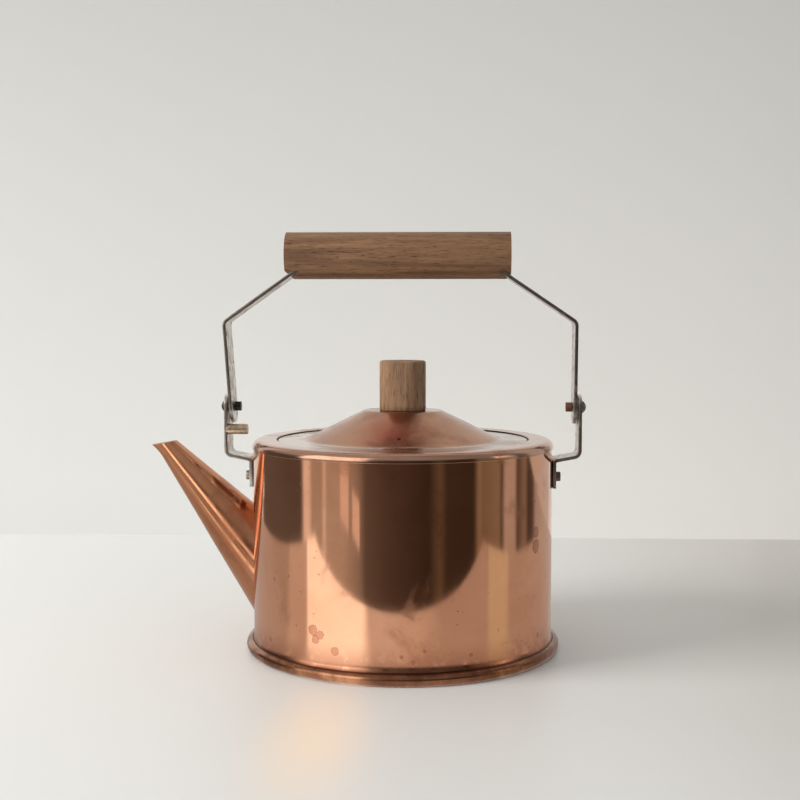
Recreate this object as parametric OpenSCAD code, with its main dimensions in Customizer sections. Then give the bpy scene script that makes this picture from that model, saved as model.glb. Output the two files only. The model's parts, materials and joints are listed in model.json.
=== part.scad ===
// Copper kettle with a straight conical spout, a lift-off lid and a swinging steel bail.
// Z points up, the table is z = 0 and the body's axis is x = y = 0. The spout points to -X.

/* [Body] */
// Outside diameter of the body wall
body_d = 180; // [150:1:210]
// Height of the flat shoulder above the table
body_h = 126.4; // [110:0.2:150]
// Thickness of the copper sheet in the wall, base and spout
sheet_t = 1; // [0.8:0.1:1.4]

/* [Foot rim] */
// Diameter of the rolled rim at the foot
rim_d = 7; // [5:0.5:9]
// Open crevice between the rim's edge and the wall
rim_gap = 0.2; // [0.1:0.05:0.6]
// Height of the wall's flare above the rim
flare_h = 4.6; // [3:0.2:7]
// How far the flare spreads at its foot
flare_out = 0.9; // [0.5:0.1:1.2]

/* [Shoulder] */
// Thickness of the shoulder cap's sheet
cap_t = 0.8; // [0.6:0.1:1]
// Outside radius of the shoulder's rounded edge
cap_round = 4.5; // [3:0.5:6]
// How far the rounded edge stands out from the wall
cap_out = 0.6; // [0.3:0.1:0.8]
// Depth of the cap's skirt inside the wall, from the shoulder plane down
cap_depth = 11.6; // [9:0.2:14]
// Width of the flat shoulder between the wall's outside and the lid's opening
shoulder_w = 14.2; // [10:0.2:26]
// Depth of the recess that the lid lies in
seat_depth = 1.65; // [1.4:0.05:2.4]
// Width of the ledge under the lid's edge
seat_w = 7; // [5:0.5:10]
// Depth of the turned-down neck inside the ledge
neck_depth = 4; // [2:0.5:8]

/* [Lid] */
// Gap between the lid's edge and the shoulder
lid_gap = 0.6; // [0.4:0.1:1.2]
// Gap under the lid's flange
lid_rest_gap = 0.05; // [0.02:0.01:0.1]
// Thickness of the lid's sheet
lid_t = 1; // [0.8:0.1:1.2]
// Width of the flat flange round the cone
flange_w = 16; // [10:0.2:22]
// Diameter of the flat top of the cone
cone_top_d = 47; // [36:0.5:56]
// Height of the cone above the flange
cone_h = 17.6; // [12:0.2:26]
// Diameter of the steam hole
vent_d = 2; // [1.5:0.1:4]
// Distance of the steam hole from the foot of the cone
vent_in = 9.8; // [4:0.2:14]
// Depth of the locating collar below the flange
collar_h = 10; // [6:0.5:14]
// Gap between the collar and the ledge
collar_gap = 0.6; // [0.4:0.1:1.5]

/* [Knob] */
// Diameter of the wooden knob
knob_d = 27.9; // [20:0.1:34]
// Height of the wooden knob
knob_h = 29.9; // [20:0.1:36]
// Rounding of the knob's top edge
knob_round = 1.5; // [0.5:0.1:3]
// Diameter of the screw that holds the knob
knob_screw_d = 4; // [3:0.5:5]
// Length of that screw inside the knob
knob_screw_len = 16; // [10:1:18]

/* [Spout] */
// Half of the cone's angle
spout_taper = 9.9; // [8:0.1:11]
// Outside diameter where the axis meets the wall
spout_root_d = 42.1; // [36:0.1:44]
// Height of the spout's lower edge above the foot's flare, at the wall
spout_foot_up = 5.2; // [3:0.1:8]
// Distance of the spout's tip from the wall
spout_reach = 63.7; // [54:0.1:68]
// Depth of the spout's tip below the shoulder plane
spout_tip_down = 5.9; // [0:0.1:12]
// Slope of the mouth's cut, rising towards the body
mouth_slope = 12.2; // [0:0.2:24]
// Turn of the spout away from the brackets' plane
spout_turn = 4; // [-5:0.5:5]

/* [Brackets] */
// Width of the flat steel of brackets and bail
strap_w = 20; // [16:0.5:24]
// Thickness of that steel
strap_t = 2; // [1.6:0.1:2.4]
// Distance from the wall to a bracket's upright
bracket_reach = 15; // [12:0.5:24]
// Height of the bail's pivot above the shoulder
pivot_rise = 19.1; // [16:0.1:30]
// Height of a bracket's top above the pivot
bracket_top = 7.4; // [6:0.1:12]
// Rounding of a bracket's upper corners
bracket_corner = 6; // [2:0.5:8]
// Slope of a bracket's arm
arm_slope = 10.6; // [5:0.1:18]
// Distance from the wall's top edge down to the arm
arm_down = 6.45; // [5:0.05:12]
// Length of the tab on the wall below the arm
tab_len = 17.3; // [14:0.1:22]
// Height of the tab's screw above the tab's end
tab_screw_up = 6.1; // [4:0.1:8]
// Gap kept between the left bracket and the spout
spout_relief = 0.5; // [0.3:0.1:2]
// Radius of a bracket's bends
bracket_bend_r = 3; // [2.5:0.1:4]

/* [Bail] */
// Gap between bracket and strap at the pivot
pivot_gap = 0.9; // [0.9:0.05:1.6]
// How far each leg spreads outwards up to its bend
leg_spread = 2; // [0:0.1:3]
// Height of the upper bends above the pivot
bend_rise = 51.4; // [40:0.1:60]
// Height of the grip's axis above the pivot
grip_rise = 90.7; // [84:0.1:110]
// Depth of the strap's upper face below the grip's axis
run_drop = 5.2; // [4:0.1:6]
// Distance from the grip's end to the strap's bend inside it
run_in = 10.3; // [6:0.1:14]
// Sideways lean of the hand-bent bail at the grip
bail_lean = 2.7; // [0:0.1:3]
// Outside radius of the bail's bends
bend_r = 5; // [4:0.5:8]
// Radial clearance of the pivot bolt in the strap
pivot_clear = 0.06; // [0.02:0.01:0.1]

/* [Grip] */
// Diameter of the wooden grip
grip_d = 28.1; // [26:0.1:34]
// Length of the wooden grip
grip_len = 134.5; // [112:0.5:162]
// Leg of the corner cut at the grip's left end
left_notch = 4.6; // [2:0.1:7]
// Leg of the corner cut at the grip's right end
right_notch = 2.6; // [2:0.1:7]
// Gap round the strap inside the grip
slot_gap = 0.3; // [0.1:0.05:0.5]

/* [Hardware] */
// Thread diameter of the pivot bolts and tab screws
bolt_d = 3; // [2.5:0.5:4]
// Diameter of the pivot bolt's domed head
dome_d = 8.2; // [6:0.1:10]
// Height of the pivot bolt's domed head
dome_h = 3.2; // [2:0.1:4]
// Width over the flats of the nuts
nut_af = 5.5; // [5.5:0.1:8]
// Thickness of the two thin nuts on a pivot
thin_nut_t = 1.8; // [1.5:0.1:3]
// Diameter of the washer on a pivot
pivot_washer_d = 6; // [5:0.1:8]
// Thickness of the washer on a pivot
pivot_washer_t = 0.6; // [0.5:0.05:0.6]
// Diameter of a tab screw's head
screw_head_d = 5.7; // [5:0.1:8]
// Height of a tab screw's head
screw_head_h = 3.2; // [2:0.1:4]
// Thickness of a tab screw's nut
nut_t = 2.4; // [1.8:0.1:3.2]
// Diameter of the washer inside the wall
tab_washer_d = 8; // [6:0.5:12]
// Thickness of the washer inside the wall
tab_washer_t = 0.8; // [0.5:0.1:1.2]

/* [Stop peg] */
// Diameter of the brass peg that stops the bail
peg_d = 6.2; // [5:0.1:7]
// Length of the peg from the bracket's inner face
peg_len = 11.8; // [8:0.1:14]
// Diameter of the peg's collar
peg_collar_d = 6.6; // [6.4:0.1:7]
// Length of the peg's collar
peg_collar_len = 2.4; // [1.5:0.1:3]
// Depth of the collar's seat in the bracket
peg_seat = 1; // [0.6:0.1:1.2]
// Distance of the peg in front of the pivot
peg_front = 7; // [6:0.1:7.4]
// Gap between the peg's collar and the strap with the bail laid level
peg_gap = 0.1; // [0.05:0.05:0.5]

/* [Hidden] */

$fn = 128;
small_fn = 48;
arc_steps = 8;
far = 400;

copper = [0.78, 0.47, 0.33];
steel = [0.62, 0.61, 0.60];
dark_steel = [0.25, 0.22, 0.21];
brass = [0.74, 0.60, 0.40];
grip_wood = [0.44, 0.29, 0.20];
knob_wood = [0.55, 0.42, 0.32];

body_r = body_d / 2;
rim_r = rim_d / 2;
rim_end_angle = 88;
rim_mid = body_r + flare_out + rim_gap - rim_r * cos(rim_end_angle);
flare_top = rim_d + flare_h;
flare_r = (flare_h * flare_h + flare_out * flare_out) / (2 * flare_out);
wall_top = body_h - cap_t - cap_round;

opening_r = body_r - shoulder_w;
seat_z = body_h - seat_depth;
seat_r = opening_r - seat_w;
cap_r = body_r + cap_out;
skirt_r = body_r - sheet_t;
skirt_z = body_h - cap_depth;

flange_z = seat_z + lid_rest_gap + lid_t;
flange_r = opening_r - lid_gap;
cone_base_r = flange_r - flange_w;
cone_top_r = cone_top_d / 2;
vent_r = cone_base_r - vent_in;
cone_top_z = flange_z + cone_h;
collar_r = seat_r - collar_gap;
knob_washer_d = 12;
knob_washer_t = 1;
knob_head_d = 8;
knob_head_h = 2.6;

// The spout's cone, measured from its apex down along its axis
spout_foot_z = flare_top + spout_foot_up;
tip_z = body_h - spout_tip_down;
spout_slope = atan((tip_z - spout_foot_z) / spout_reach) - spout_taper;
spout_apex_len = spout_root_d / 2 / tan(spout_taper);
apex_x = -body_r - spout_apex_len * cos(spout_slope);
apex_z = spout_foot_z + spout_apex_len * cos(spout_slope) * tan(spout_slope + spout_taper);
spout_end_len = spout_apex_len + body_r;
spout_start_len = 20;
bore_shift = sheet_t / sin(spout_taper);
tip_x = -body_r - spout_reach;

pivot_z = body_h + pivot_rise;
bracket_x = body_r + bracket_reach;
strap_x = bracket_x - pivot_gap;
arm_z = wall_top - arm_down;
elbow_z = arm_z + bracket_reach * tan(arm_slope);
tab_end_z = arm_z - tab_len;
tab_screw_z = tab_end_z + tab_screw_up;
tail_r = strap_w / 2;

grip_z = pivot_z + grip_rise;
grip_x = -bail_lean;
run_z = grip_z - run_drop;
run_x = grip_len / 2 - run_in;
bend_z = pivot_z + bend_rise;
bend_x = strap_x + leg_spread;

peg_z = pivot_z - tail_r - peg_gap - peg_collar_d / 2;

bolt_r = bolt_d / 2;
bolt_tip = 0.2;
nut_play = 0.3;
lock_gap = 0.05;
nut_x = strap_x - strap_t - nut_play - thin_nut_t;
lock_nut_x = nut_x - lock_gap - thin_nut_t;
screw_tip = 0.8;
screw_hole_gap = 0.1;
// The flat washer bears on the curved wall with two edges
tab_washer_x = sqrt(pow(body_r - sheet_t, 2) - pow(tab_washer_d / 2, 2)) - tab_washer_t;
tab_nut_x = tab_washer_x - nut_t;

// Direction, perpendicular and turn of two-dimensional vectors
function unit(v) = v / norm(v);
function perp(v) = [-v[1], v[0]];
function turned(v, a) = [v[0] * cos(a) - v[1] * sin(a), v[0] * sin(a) + v[1] * cos(a)];

// Arc round the corner b of the path a-b-c, at a distance d to the left of the path
function corner(a, b, c, r, d) =
    let (u = unit(b - a), v = unit(c - b),
         s = sign(u[0] * v[1] - u[1] * v[0]),
         angle = acos(u * v),
         centre = b - u * r * tan(angle / 2) + perp(u) * s * r)
    [for (i = [0:arc_steps]) centre + turned(-perp(u) * s, s * angle * i / arc_steps) * (r - s * d)];

// Line that runs beside a path with rounded corners, at a distance d to its left
function beside(p, r, d) =
    let (last = len(p) - 1)
    concat([p[0] + perp(unit(p[1] - p[0])) * d],
           [for (i = [1:last - 1]) each corner(p[i - 1], p[i], p[i + 1], r, d)],
           [p[last] + perp(unit(p[last] - p[last - 1])) * d]);

function reversed(p) = [for (i = [len(p) - 1:-1:0]) p[i]];

// Outline of a bent strip whose faces lie at the distances d1 and d2 to the path's left
function strip(p, r, d1, d2) = concat(beside(p, r, d1), reversed(beside(p, r, d2)));

// Outer face of the bail in its own plane, leaning a little to the spout's side
function lean_at(z) = -bail_lean * (z - pivot_z) / (run_z - pivot_z);
upright_corners = [
    [-strap_x, pivot_z], [-bend_x, bend_z], [-run_x, run_z],
    [run_x, run_z], [bend_x, bend_z], [strap_x, pivot_z]
];
corners = [for (p = upright_corners) [p[0] + lean_at(p[1]), p[1]]];
left_tail = corners[0] + unit(corners[0] - corners[1]) * tail_r * 1.5;
right_tail = corners[5] + unit(corners[5] - corners[4]) * tail_r * 1.5;
bail_path = concat([left_tail], [for (i = [1:4]) corners[i]], [right_tail]);

// Inner face of the right bracket, from its top down to the tab's end
bracket_path = [
    [bracket_x, pivot_z + bracket_top], [bracket_x, elbow_z], [body_r, arm_z], [body_r, tab_end_z]
];

// Extrudes an outline drawn in x and z evenly to both sides of the plane y = 0
module plate(width) {
    rotate([90, 0, 0]) linear_extrude(height = width, center = true) children();
}

// Round bar along X from x1 to x2, at the height z and the depth y
module bar(r, x1, x2, y, z, sides = small_fn) {
    translate([x1, y, z]) rotate([0, 90, 0]) cylinder(r = r, h = x2 - x1, $fn = sides);
}

module mirrored() {
    mirror([1, 0, 0]) children();
}

// What rounds off the two corners of a bar of the strap's width, above the height z
// (up = 1) or below it (up = -1); a radius of half the width makes a full round end
module outside_corners(r, x1, x2, z, up) {
    side_y = strap_w / 2 - r;
    for (side = [-1, 1])
        difference() {
            translate([x1, side > 0 ? side_y : -side_y - 3 * r, up > 0 ? z : z - 3 * r])
                cube([x2 - x1, 3 * r, 3 * r]);
            bar(r, x1 - 1, x2 + 1, side * side_y, z, $fn);
        }
}

module turned_spout() {
    rotate([0, 0, -spout_turn]) children();
}

// A solid cone of the spout's taper whose apex lies `back` down the axis from the outer apex
module spout_solid(back) {
    translate([apex_x, 0, apex_z]) rotate([0, 90 + spout_slope, 0])
        translate([0, 0, back + spout_start_len])
            cylinder(r1 = spout_start_len * tan(spout_taper), r2 = spout_end_len * tan(spout_taper),
                     h = spout_end_len - spout_start_len);
}

// The wall's profile: straight above, flared above the rim, with its foot on the base
module wall_outline() {
    flare = [for (i = [0:arc_steps])
        let (down = flare_h * i / arc_steps)
        [body_r + flare_r - sqrt(flare_r * flare_r - down * down), flare_top - down]];
    polygon(concat([[body_r, wall_top]], flare,
                   [[body_r + flare_out, sheet_t], [body_r + flare_out - sheet_t, sheet_t]],
                   [for (p = reversed(flare)) [p[0] - sheet_t, p[1]]],
                   [[body_r - sheet_t, wall_top]]));
}

module body_wall() {
    color(copper) difference() {
        rotate_extrude() wall_outline();
        turned_spout() spout_solid(bore_shift);
        for (side = [-1, 1])
            bar(bolt_r + screw_hole_gap, side * body_r - 2 * sheet_t, side * body_r + 2 * sheet_t,
                0, tab_screw_z);
    }
}

module shoulder_cap() {
    round_z = body_h - cap_round;
    round_x = cap_r - cap_round;
    color(copper) rotate_extrude() {
        translate([skirt_r - cap_t, skirt_z]) square([cap_t, wall_top - skirt_z]);
        translate([skirt_r - cap_t, wall_top]) square([cap_r - skirt_r + cap_t, cap_t]);
        translate([opening_r, body_h - cap_t]) square([round_x - opening_r, cap_t]);
        translate([opening_r, seat_z - cap_t]) square([cap_t, seat_depth + cap_t]);
        translate([seat_r, seat_z - cap_t]) square([seat_w, cap_t]);
        translate([seat_r, seat_z - neck_depth]) square([cap_t, neck_depth]);
        translate([round_x, round_z]) intersection() {
            difference() {
                circle(r = cap_round);
                circle(r = cap_round - cap_t);
            }
            square(cap_round);
        }
    }
}

module base_pan() {
    color(copper) rotate_extrude() {
        square([rim_mid, sheet_t]);
        translate([rim_mid, rim_r]) difference() {
            circle(r = rim_r, $fn = small_fn);
            circle(r = rim_r - sheet_t, $fn = small_fn);
            translate([-rim_d, -rim_d]) square([rim_d, 2 * rim_d]);
            rotate(rim_end_angle) square([rim_d, rim_d]);
        }
    }
}

module spout() {
    color(copper) turned_spout() difference() {
        spout_solid(0);
        spout_solid(bore_shift);
        // the mouth's cut
        translate([tip_x, 0, tip_z]) rotate([0, -mouth_slope, 0])
            translate([-far / 2, -far / 2, 0]) cube(far);
        // the wall, which the spout's root is shaped to
        translate([0, 0, -far / 2]) cylinder(r = body_r, h = far);
        translate([0, -far / 2, -far / 2]) cube(far);
    }
}

module bracket_blank() {
    difference() {
        plate(strap_w) polygon(strip(bracket_path, bracket_bend_r, 0, strap_t));
        outside_corners(bracket_corner, bracket_x - 1, bracket_x + strap_t + 1,
                        pivot_z + bracket_top - bracket_corner, 1);
        bar(bolt_r + screw_hole_gap, bracket_x - 1, bracket_x + strap_t + 1, 0, pivot_z);
        bar(bolt_r + screw_hole_gap, body_r - 1, body_r + strap_t + 1, 0, tab_screw_z);
    }
}

module right_bracket() {
    color(steel) bracket_blank();
}

module left_bracket() {
    color(steel) difference() {
        mirrored() bracket_blank();
        bar(bolt_r, -bracket_x - strap_t - 1, -bracket_x + 1, -peg_front, peg_z);
        bar(peg_collar_d / 2, -bracket_x - peg_seat, -bracket_x + 1, -peg_front, peg_z);
        turned_spout() spout_solid(-spout_relief / sin(spout_taper));
    }
}

module stop_peg() {
    color(brass) {
        bar(bolt_r, -bracket_x - strap_t, -bracket_x, -peg_front, peg_z);
        bar(peg_collar_d / 2, -bracket_x - peg_seat, -bracket_x + peg_collar_len - peg_seat,
            -peg_front, peg_z);
        bar(peg_d / 2, -bracket_x, -bracket_x + peg_len, -peg_front, peg_z);
    }
}

// Hexagonal nut along X with a flat side up
module hex_nut(x1, thickness, z) {
    difference() {
        translate([x1, 0, z]) rotate([0, 90, 0]) rotate(30)
            cylinder(r = nut_af / 2 / cos(30), h = thickness, $fn = 6);
        bar(bolt_r, x1 - 1, x1 + thickness + 1, 0, z);
    }
}

module flat_washer(d, x1, thickness, z) {
    difference() {
        bar(d / 2, x1, x1 + thickness, 0, z);
        bar(bolt_r, x1 - 1, x1 + thickness + 1, 0, z);
    }
}

module pivot_bolt() {
    outer = bracket_x + strap_t;
    dome_r = (dome_d * dome_d / 4 + dome_h * dome_h) / (2 * dome_h);
    bar(bolt_r, lock_nut_x - bolt_tip, outer + dome_h / 2, 0, pivot_z);
    translate([outer, 0, pivot_z]) rotate([0, 90, 0]) rotate_extrude($fn = small_fn) intersection() {
        translate([0, dome_h - dome_r]) circle(r = dome_r, $fn = $fn * 2);
        square([dome_d, dome_h]);
    }
}

module tab_screw() {
    head_x = body_r + strap_t;
    slot_w = screw_head_d / 6;
    slot_x = head_x + screw_head_h * 0.6;
    bar(bolt_r, tab_nut_x - screw_tip, head_x + screw_head_h / 4, 0, tab_screw_z);
    difference() {
        bar(screw_head_d / 2, head_x, head_x + screw_head_h, 0, tab_screw_z);
        translate([slot_x, -slot_w / 2, tab_screw_z - screw_head_d])
            cube([screw_head_h, slot_w, 2 * screw_head_d]);
    }
}

module pivot_washer() {
    flat_washer(pivot_washer_d, bracket_x - pivot_washer_t, pivot_washer_t, pivot_z);
}

module pivot_nut() { hex_nut(nut_x, thin_nut_t, pivot_z); }
module lock_nut() { hex_nut(lock_nut_x, thin_nut_t, pivot_z); }
module tab_washer() { flat_washer(tab_washer_d, tab_washer_x, tab_washer_t, tab_screw_z); }
module tab_nut() { hex_nut(tab_nut_x, nut_t, tab_screw_z); }

module left_pivot_bolt() { color(steel) mirrored() pivot_bolt(); }
module right_pivot_bolt() { color(dark_steel) pivot_bolt(); }
module left_pivot_washer() { color(steel) mirrored() pivot_washer(); }
module right_pivot_washer() { color(steel) pivot_washer(); }
module left_pivot_nut() { color(dark_steel) mirrored() pivot_nut(); }
module right_pivot_nut() { color(dark_steel) pivot_nut(); }
module left_lock_nut() { color(dark_steel) mirrored() lock_nut(); }
module right_lock_nut() { color(dark_steel) lock_nut(); }
module left_tab_screw() { color(steel) mirrored() tab_screw(); }
module right_tab_screw() { color(dark_steel) tab_screw(); }
module left_tab_washer() { color(steel) mirrored() tab_washer(); }
module right_tab_washer() { color(steel) tab_washer(); }
module left_tab_nut() { color(dark_steel) mirrored() tab_nut(); }
module right_tab_nut() { color(dark_steel) tab_nut(); }

module bail_strap() {
    color(steel) difference() {
        plate(strap_w) polygon(strip(bail_path, bend_r, 0, -strap_t));
        for (x = [-strap_x, strap_x]) {
            outside_corners(tail_r, x - 3 * strap_t, x + 3 * strap_t, pivot_z, -1);
            bar(bolt_r + pivot_clear, x - 3 * strap_t, x + 3 * strap_t, 0, pivot_z);
        }
    }
}

// Square bar across the grip's lower corner at x, which cuts it off at 45 degrees
module corner_cut(x, leg) {
    translate([x, 0, grip_z - grip_d / 2]) rotate([0, 45, 0])
        cube([leg * sqrt(2), grip_d, leg * sqrt(2)], center = true);
}

module grip() {
    color(grip_wood) difference() {
        bar(grip_d / 2, grip_x - grip_len / 2, grip_x + grip_len / 2, 0, grip_z, $fn);
        plate(strap_w + 2 * slot_gap)
            polygon(strip(bail_path, bend_r, slot_gap, -strap_t - slot_gap));
        corner_cut(grip_x - grip_len / 2, left_notch);
        corner_cut(grip_x + grip_len / 2, right_notch);
    }
}

module lid_dome() {
    top = [[0, cone_top_z], [cone_top_r, cone_top_z], [cone_base_r, flange_z], [flange_r, flange_z]];
    color(copper) difference() {
        rotate_extrude()
            polygon(concat(top, [for (p = reversed(top)) [p[0], p[1] - lid_t]]));
        cylinder(r = knob_screw_d / 2, h = far);
        translate([0, -vent_r, 0]) cylinder(r = vent_d / 2, h = far, $fn = small_fn);
    }
}

module lid_collar() {
    z = flange_z - lid_t - collar_h;
    color(copper) translate([0, 0, z]) difference() {
        cylinder(r = collar_r, h = collar_h);
        translate([0, 0, -1]) cylinder(r = collar_r - lid_t, h = collar_h + 2);
    }
}

module knob() {
    color(knob_wood) translate([0, 0, cone_top_z]) difference() {
        rotate_extrude() {
            square([knob_d / 2, knob_h - knob_round]);
            square([knob_d / 2 - knob_round, knob_h]);
            translate([knob_d / 2 - knob_round, knob_h - knob_round])
                circle(r = knob_round, $fn = small_fn);
        }
        translate([0, 0, -1]) cylinder(r = knob_screw_d / 2, h = knob_screw_len + 2, $fn = small_fn);
    }
}

module knob_washer() {
    z = cone_top_z - lid_t - knob_washer_t;
    color(steel) translate([0, 0, z]) difference() {
        cylinder(r = knob_washer_d / 2, h = knob_washer_t, $fn = small_fn);
        translate([0, 0, -1]) cylinder(r = knob_screw_d / 2, h = knob_washer_t + 2, $fn = small_fn);
    }
}

module knob_screw() {
    z = cone_top_z - lid_t - knob_washer_t;
    slot = knob_head_d / 7;
    color(steel) {
        translate([0, 0, z - knob_head_h / 4])
            cylinder(r = knob_screw_d / 2, h = cone_top_z - z + knob_head_h / 4 + knob_screw_len,
                     $fn = small_fn);
        difference() {
            translate([0, 0, z - knob_head_h])
                cylinder(r = knob_head_d / 2, h = knob_head_h, $fn = small_fn);
            translate([-knob_head_d, -slot / 2, z - knob_head_h * 1.6])
                cube([2 * knob_head_d, slot, knob_head_h]);
        }
    }
}

body_wall();
shoulder_cap();
base_pan();
spout();
left_bracket();
right_bracket();
stop_peg();
left_pivot_bolt();
right_pivot_bolt();
left_pivot_washer();
right_pivot_washer();
left_pivot_nut();
right_pivot_nut();
left_lock_nut();
right_lock_nut();
left_tab_screw();
right_tab_screw();
left_tab_washer();
right_tab_washer();
left_tab_nut();
right_tab_nut();
bail_strap();
grip();
lid_dome();
lid_collar();
knob();
knob_screw();
knob_washer();
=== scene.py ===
"""A copper kettle with a swinging steel bail, standing on a pale table.

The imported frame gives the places. The sheet-metal pieces are turned from their profiles by a
Geometry Nodes lathe, the nuts and washers are set on points by two more trees, the spout is a
ruled cone, and the flat steel and the grip are bevelled copies of the frame's own solids.
"""

from __future__ import annotations

import json
import logging
import math
from collections.abc import Callable, Iterable, Sequence
from dataclasses import dataclass, field
from enum import Enum
from functools import cached_property
from typing import Any

import bmesh
import bpy
from mathutils import Matrix, Vector, noise

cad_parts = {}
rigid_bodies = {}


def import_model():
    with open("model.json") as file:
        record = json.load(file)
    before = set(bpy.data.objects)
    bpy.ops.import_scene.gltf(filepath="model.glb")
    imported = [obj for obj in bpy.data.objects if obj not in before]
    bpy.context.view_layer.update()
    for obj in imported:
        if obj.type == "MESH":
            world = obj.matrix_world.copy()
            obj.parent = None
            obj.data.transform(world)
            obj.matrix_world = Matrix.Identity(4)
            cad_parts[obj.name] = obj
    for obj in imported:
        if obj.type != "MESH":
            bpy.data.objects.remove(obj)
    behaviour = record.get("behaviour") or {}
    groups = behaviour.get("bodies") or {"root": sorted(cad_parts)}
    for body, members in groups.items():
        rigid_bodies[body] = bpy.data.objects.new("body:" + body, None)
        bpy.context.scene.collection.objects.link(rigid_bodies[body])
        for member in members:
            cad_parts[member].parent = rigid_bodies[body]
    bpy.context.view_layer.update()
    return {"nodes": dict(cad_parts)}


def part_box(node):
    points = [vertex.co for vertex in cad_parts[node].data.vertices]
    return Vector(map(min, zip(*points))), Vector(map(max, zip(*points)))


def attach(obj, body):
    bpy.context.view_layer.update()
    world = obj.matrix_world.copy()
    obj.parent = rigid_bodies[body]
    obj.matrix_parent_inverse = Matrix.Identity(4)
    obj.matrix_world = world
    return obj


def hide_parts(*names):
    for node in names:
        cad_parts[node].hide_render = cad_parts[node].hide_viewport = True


LOG = logging.getLogger("kettle")

MM = 0.001

Colour = tuple[float, float, float, float]
Point2 = tuple[float, float]


class Body(Enum):
    """The frame's moving bodies."""

    VESSEL = "vessel"
    BAIL = "bail"
    LID = "lid"


class Slot(Enum):
    """The record's material slots."""

    COPPER = "copper"
    STRAP_STEEL = "strap_steel"
    BOLT_STEEL = "bolt_steel"
    PEG_BRASS = "peg_brass"
    GRIP_WOOD = "grip_wood"
    KNOB_WOOD = "knob_wood"


class Side(Enum):
    """The spout's side of the kettle and the side away from it."""

    LEFT = "left"
    RIGHT = "right"


def rgb(red: float, green: float, blue: float) -> Colour:
    """A linear colour with full alpha."""
    return (red, green, blue, 1.0)


# ---------------------------------------------------------------------------------------------
# Node graphs
# ---------------------------------------------------------------------------------------------


class Graph:
    """Adds and joins the nodes of one tree."""

    def __init__(self, tree: bpy.types.NodeTree) -> None:
        """Takes the tree that the nodes go into."""
        self.tree = tree

    def feed(self, socket: bpy.types.NodeSocket, value: Any) -> None:
        """Links an output to a socket, or sets the socket's own value."""
        if isinstance(value, bpy.types.NodeSocket):
            self.tree.links.new(value, socket)
        else:
            socket.default_value = value

    def add(self, kind: str, inputs: dict[Any, Any] | None = None, **settings: Any) -> bpy.types.Node:
        """Adds a node.

        Args:
            kind: the node's type name.
            inputs: values or output sockets, by input name or index.
            settings: properties of the node, set before its inputs.

        Returns:
            The new node.
        """
        node = self.tree.nodes.new(kind)
        for key, value in settings.items():
            setattr(node, key, value)
        for key, value in (inputs or {}).items():
            self.feed(node.inputs[key], value)
        return node

    def math(self, operation: str, *values: Any, clamp: bool = False) -> bpy.types.NodeSocket:
        """The output of a Math node on the given values."""
        node = self.add("ShaderNodeMath", dict(enumerate(values)), operation=operation, use_clamp=clamp)
        return node.outputs[0]

    def vector(self, operation: str, *values: Any) -> bpy.types.NodeSocket:
        """The first output of a Vector Math node on the given values."""
        return self.add("ShaderNodeVectorMath", dict(enumerate(values)), operation=operation).outputs[0]

    def measure(self, operation: str, *values: Any) -> bpy.types.NodeSocket:
        """The single number that a Vector Math node gives, such as a distance or a length."""
        node = self.add("ShaderNodeVectorMath", dict(enumerate(values)), operation=operation)
        return node.outputs["Value"]

    def blend(self, factor: Any, first: Any, second: Any, mode: str = "MIX") -> bpy.types.NodeSocket:
        """A colour between two colours."""
        node = self.add("ShaderNodeMix", {0: factor, 6: first, 7: second}, data_type="RGBA",
                        blend_type=mode, clamp_factor=True)
        return node.outputs[2]

    def remap(self, value: Any, low: Any, high: Any, to_low: Any = 0.0, to_high: Any = 1.0,
              soft: bool = True) -> bpy.types.NodeSocket:
        """Value from low..high to to_low..to_high, held at both ends."""
        node = self.add("ShaderNodeMapRange", {0: value, 1: low, 2: high, 3: to_low, 4: to_high},
                        interpolation_type="SMOOTHSTEP" if soft else "LINEAR")
        return node.outputs[0]

    def noise(self, vector: Any, scale: Any, detail: float = 4.0, roughness: float = 0.55,
              distortion: float = 0.0) -> bpy.types.NodeSocket:
        """The factor of a noise texture."""
        node = self.add("ShaderNodeTexNoise", {"Vector": vector, "Scale": scale, "Detail": detail,
                                               "Roughness": roughness, "Distortion": distortion})
        return node.outputs[0]

    def ramp(self, value: Any, stops: Sequence[tuple[float, Colour]]) -> bpy.types.NodeSocket:
        """A colour from a ramp with the given positions and colours."""
        node = self.add("ShaderNodeValToRGB", {0: value})
        elements = node.color_ramp.elements
        while len(elements) < len(stops):
            elements.new(0.5)
        for element, (position, colour) in zip(elements, stops):
            element.position, element.color = position, colour
        return node.outputs[0]

    def stretch(self, vector: Any, scale: Sequence[float], shift: Sequence[float] = (0, 0, 0)
                ) -> bpy.types.NodeSocket:
        """The vector scaled and then shifted by a Mapping node."""
        return self.add("ShaderNodeMapping", {"Vector": vector, "Scale": scale, "Location": shift}
                        ).outputs[0]


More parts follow.
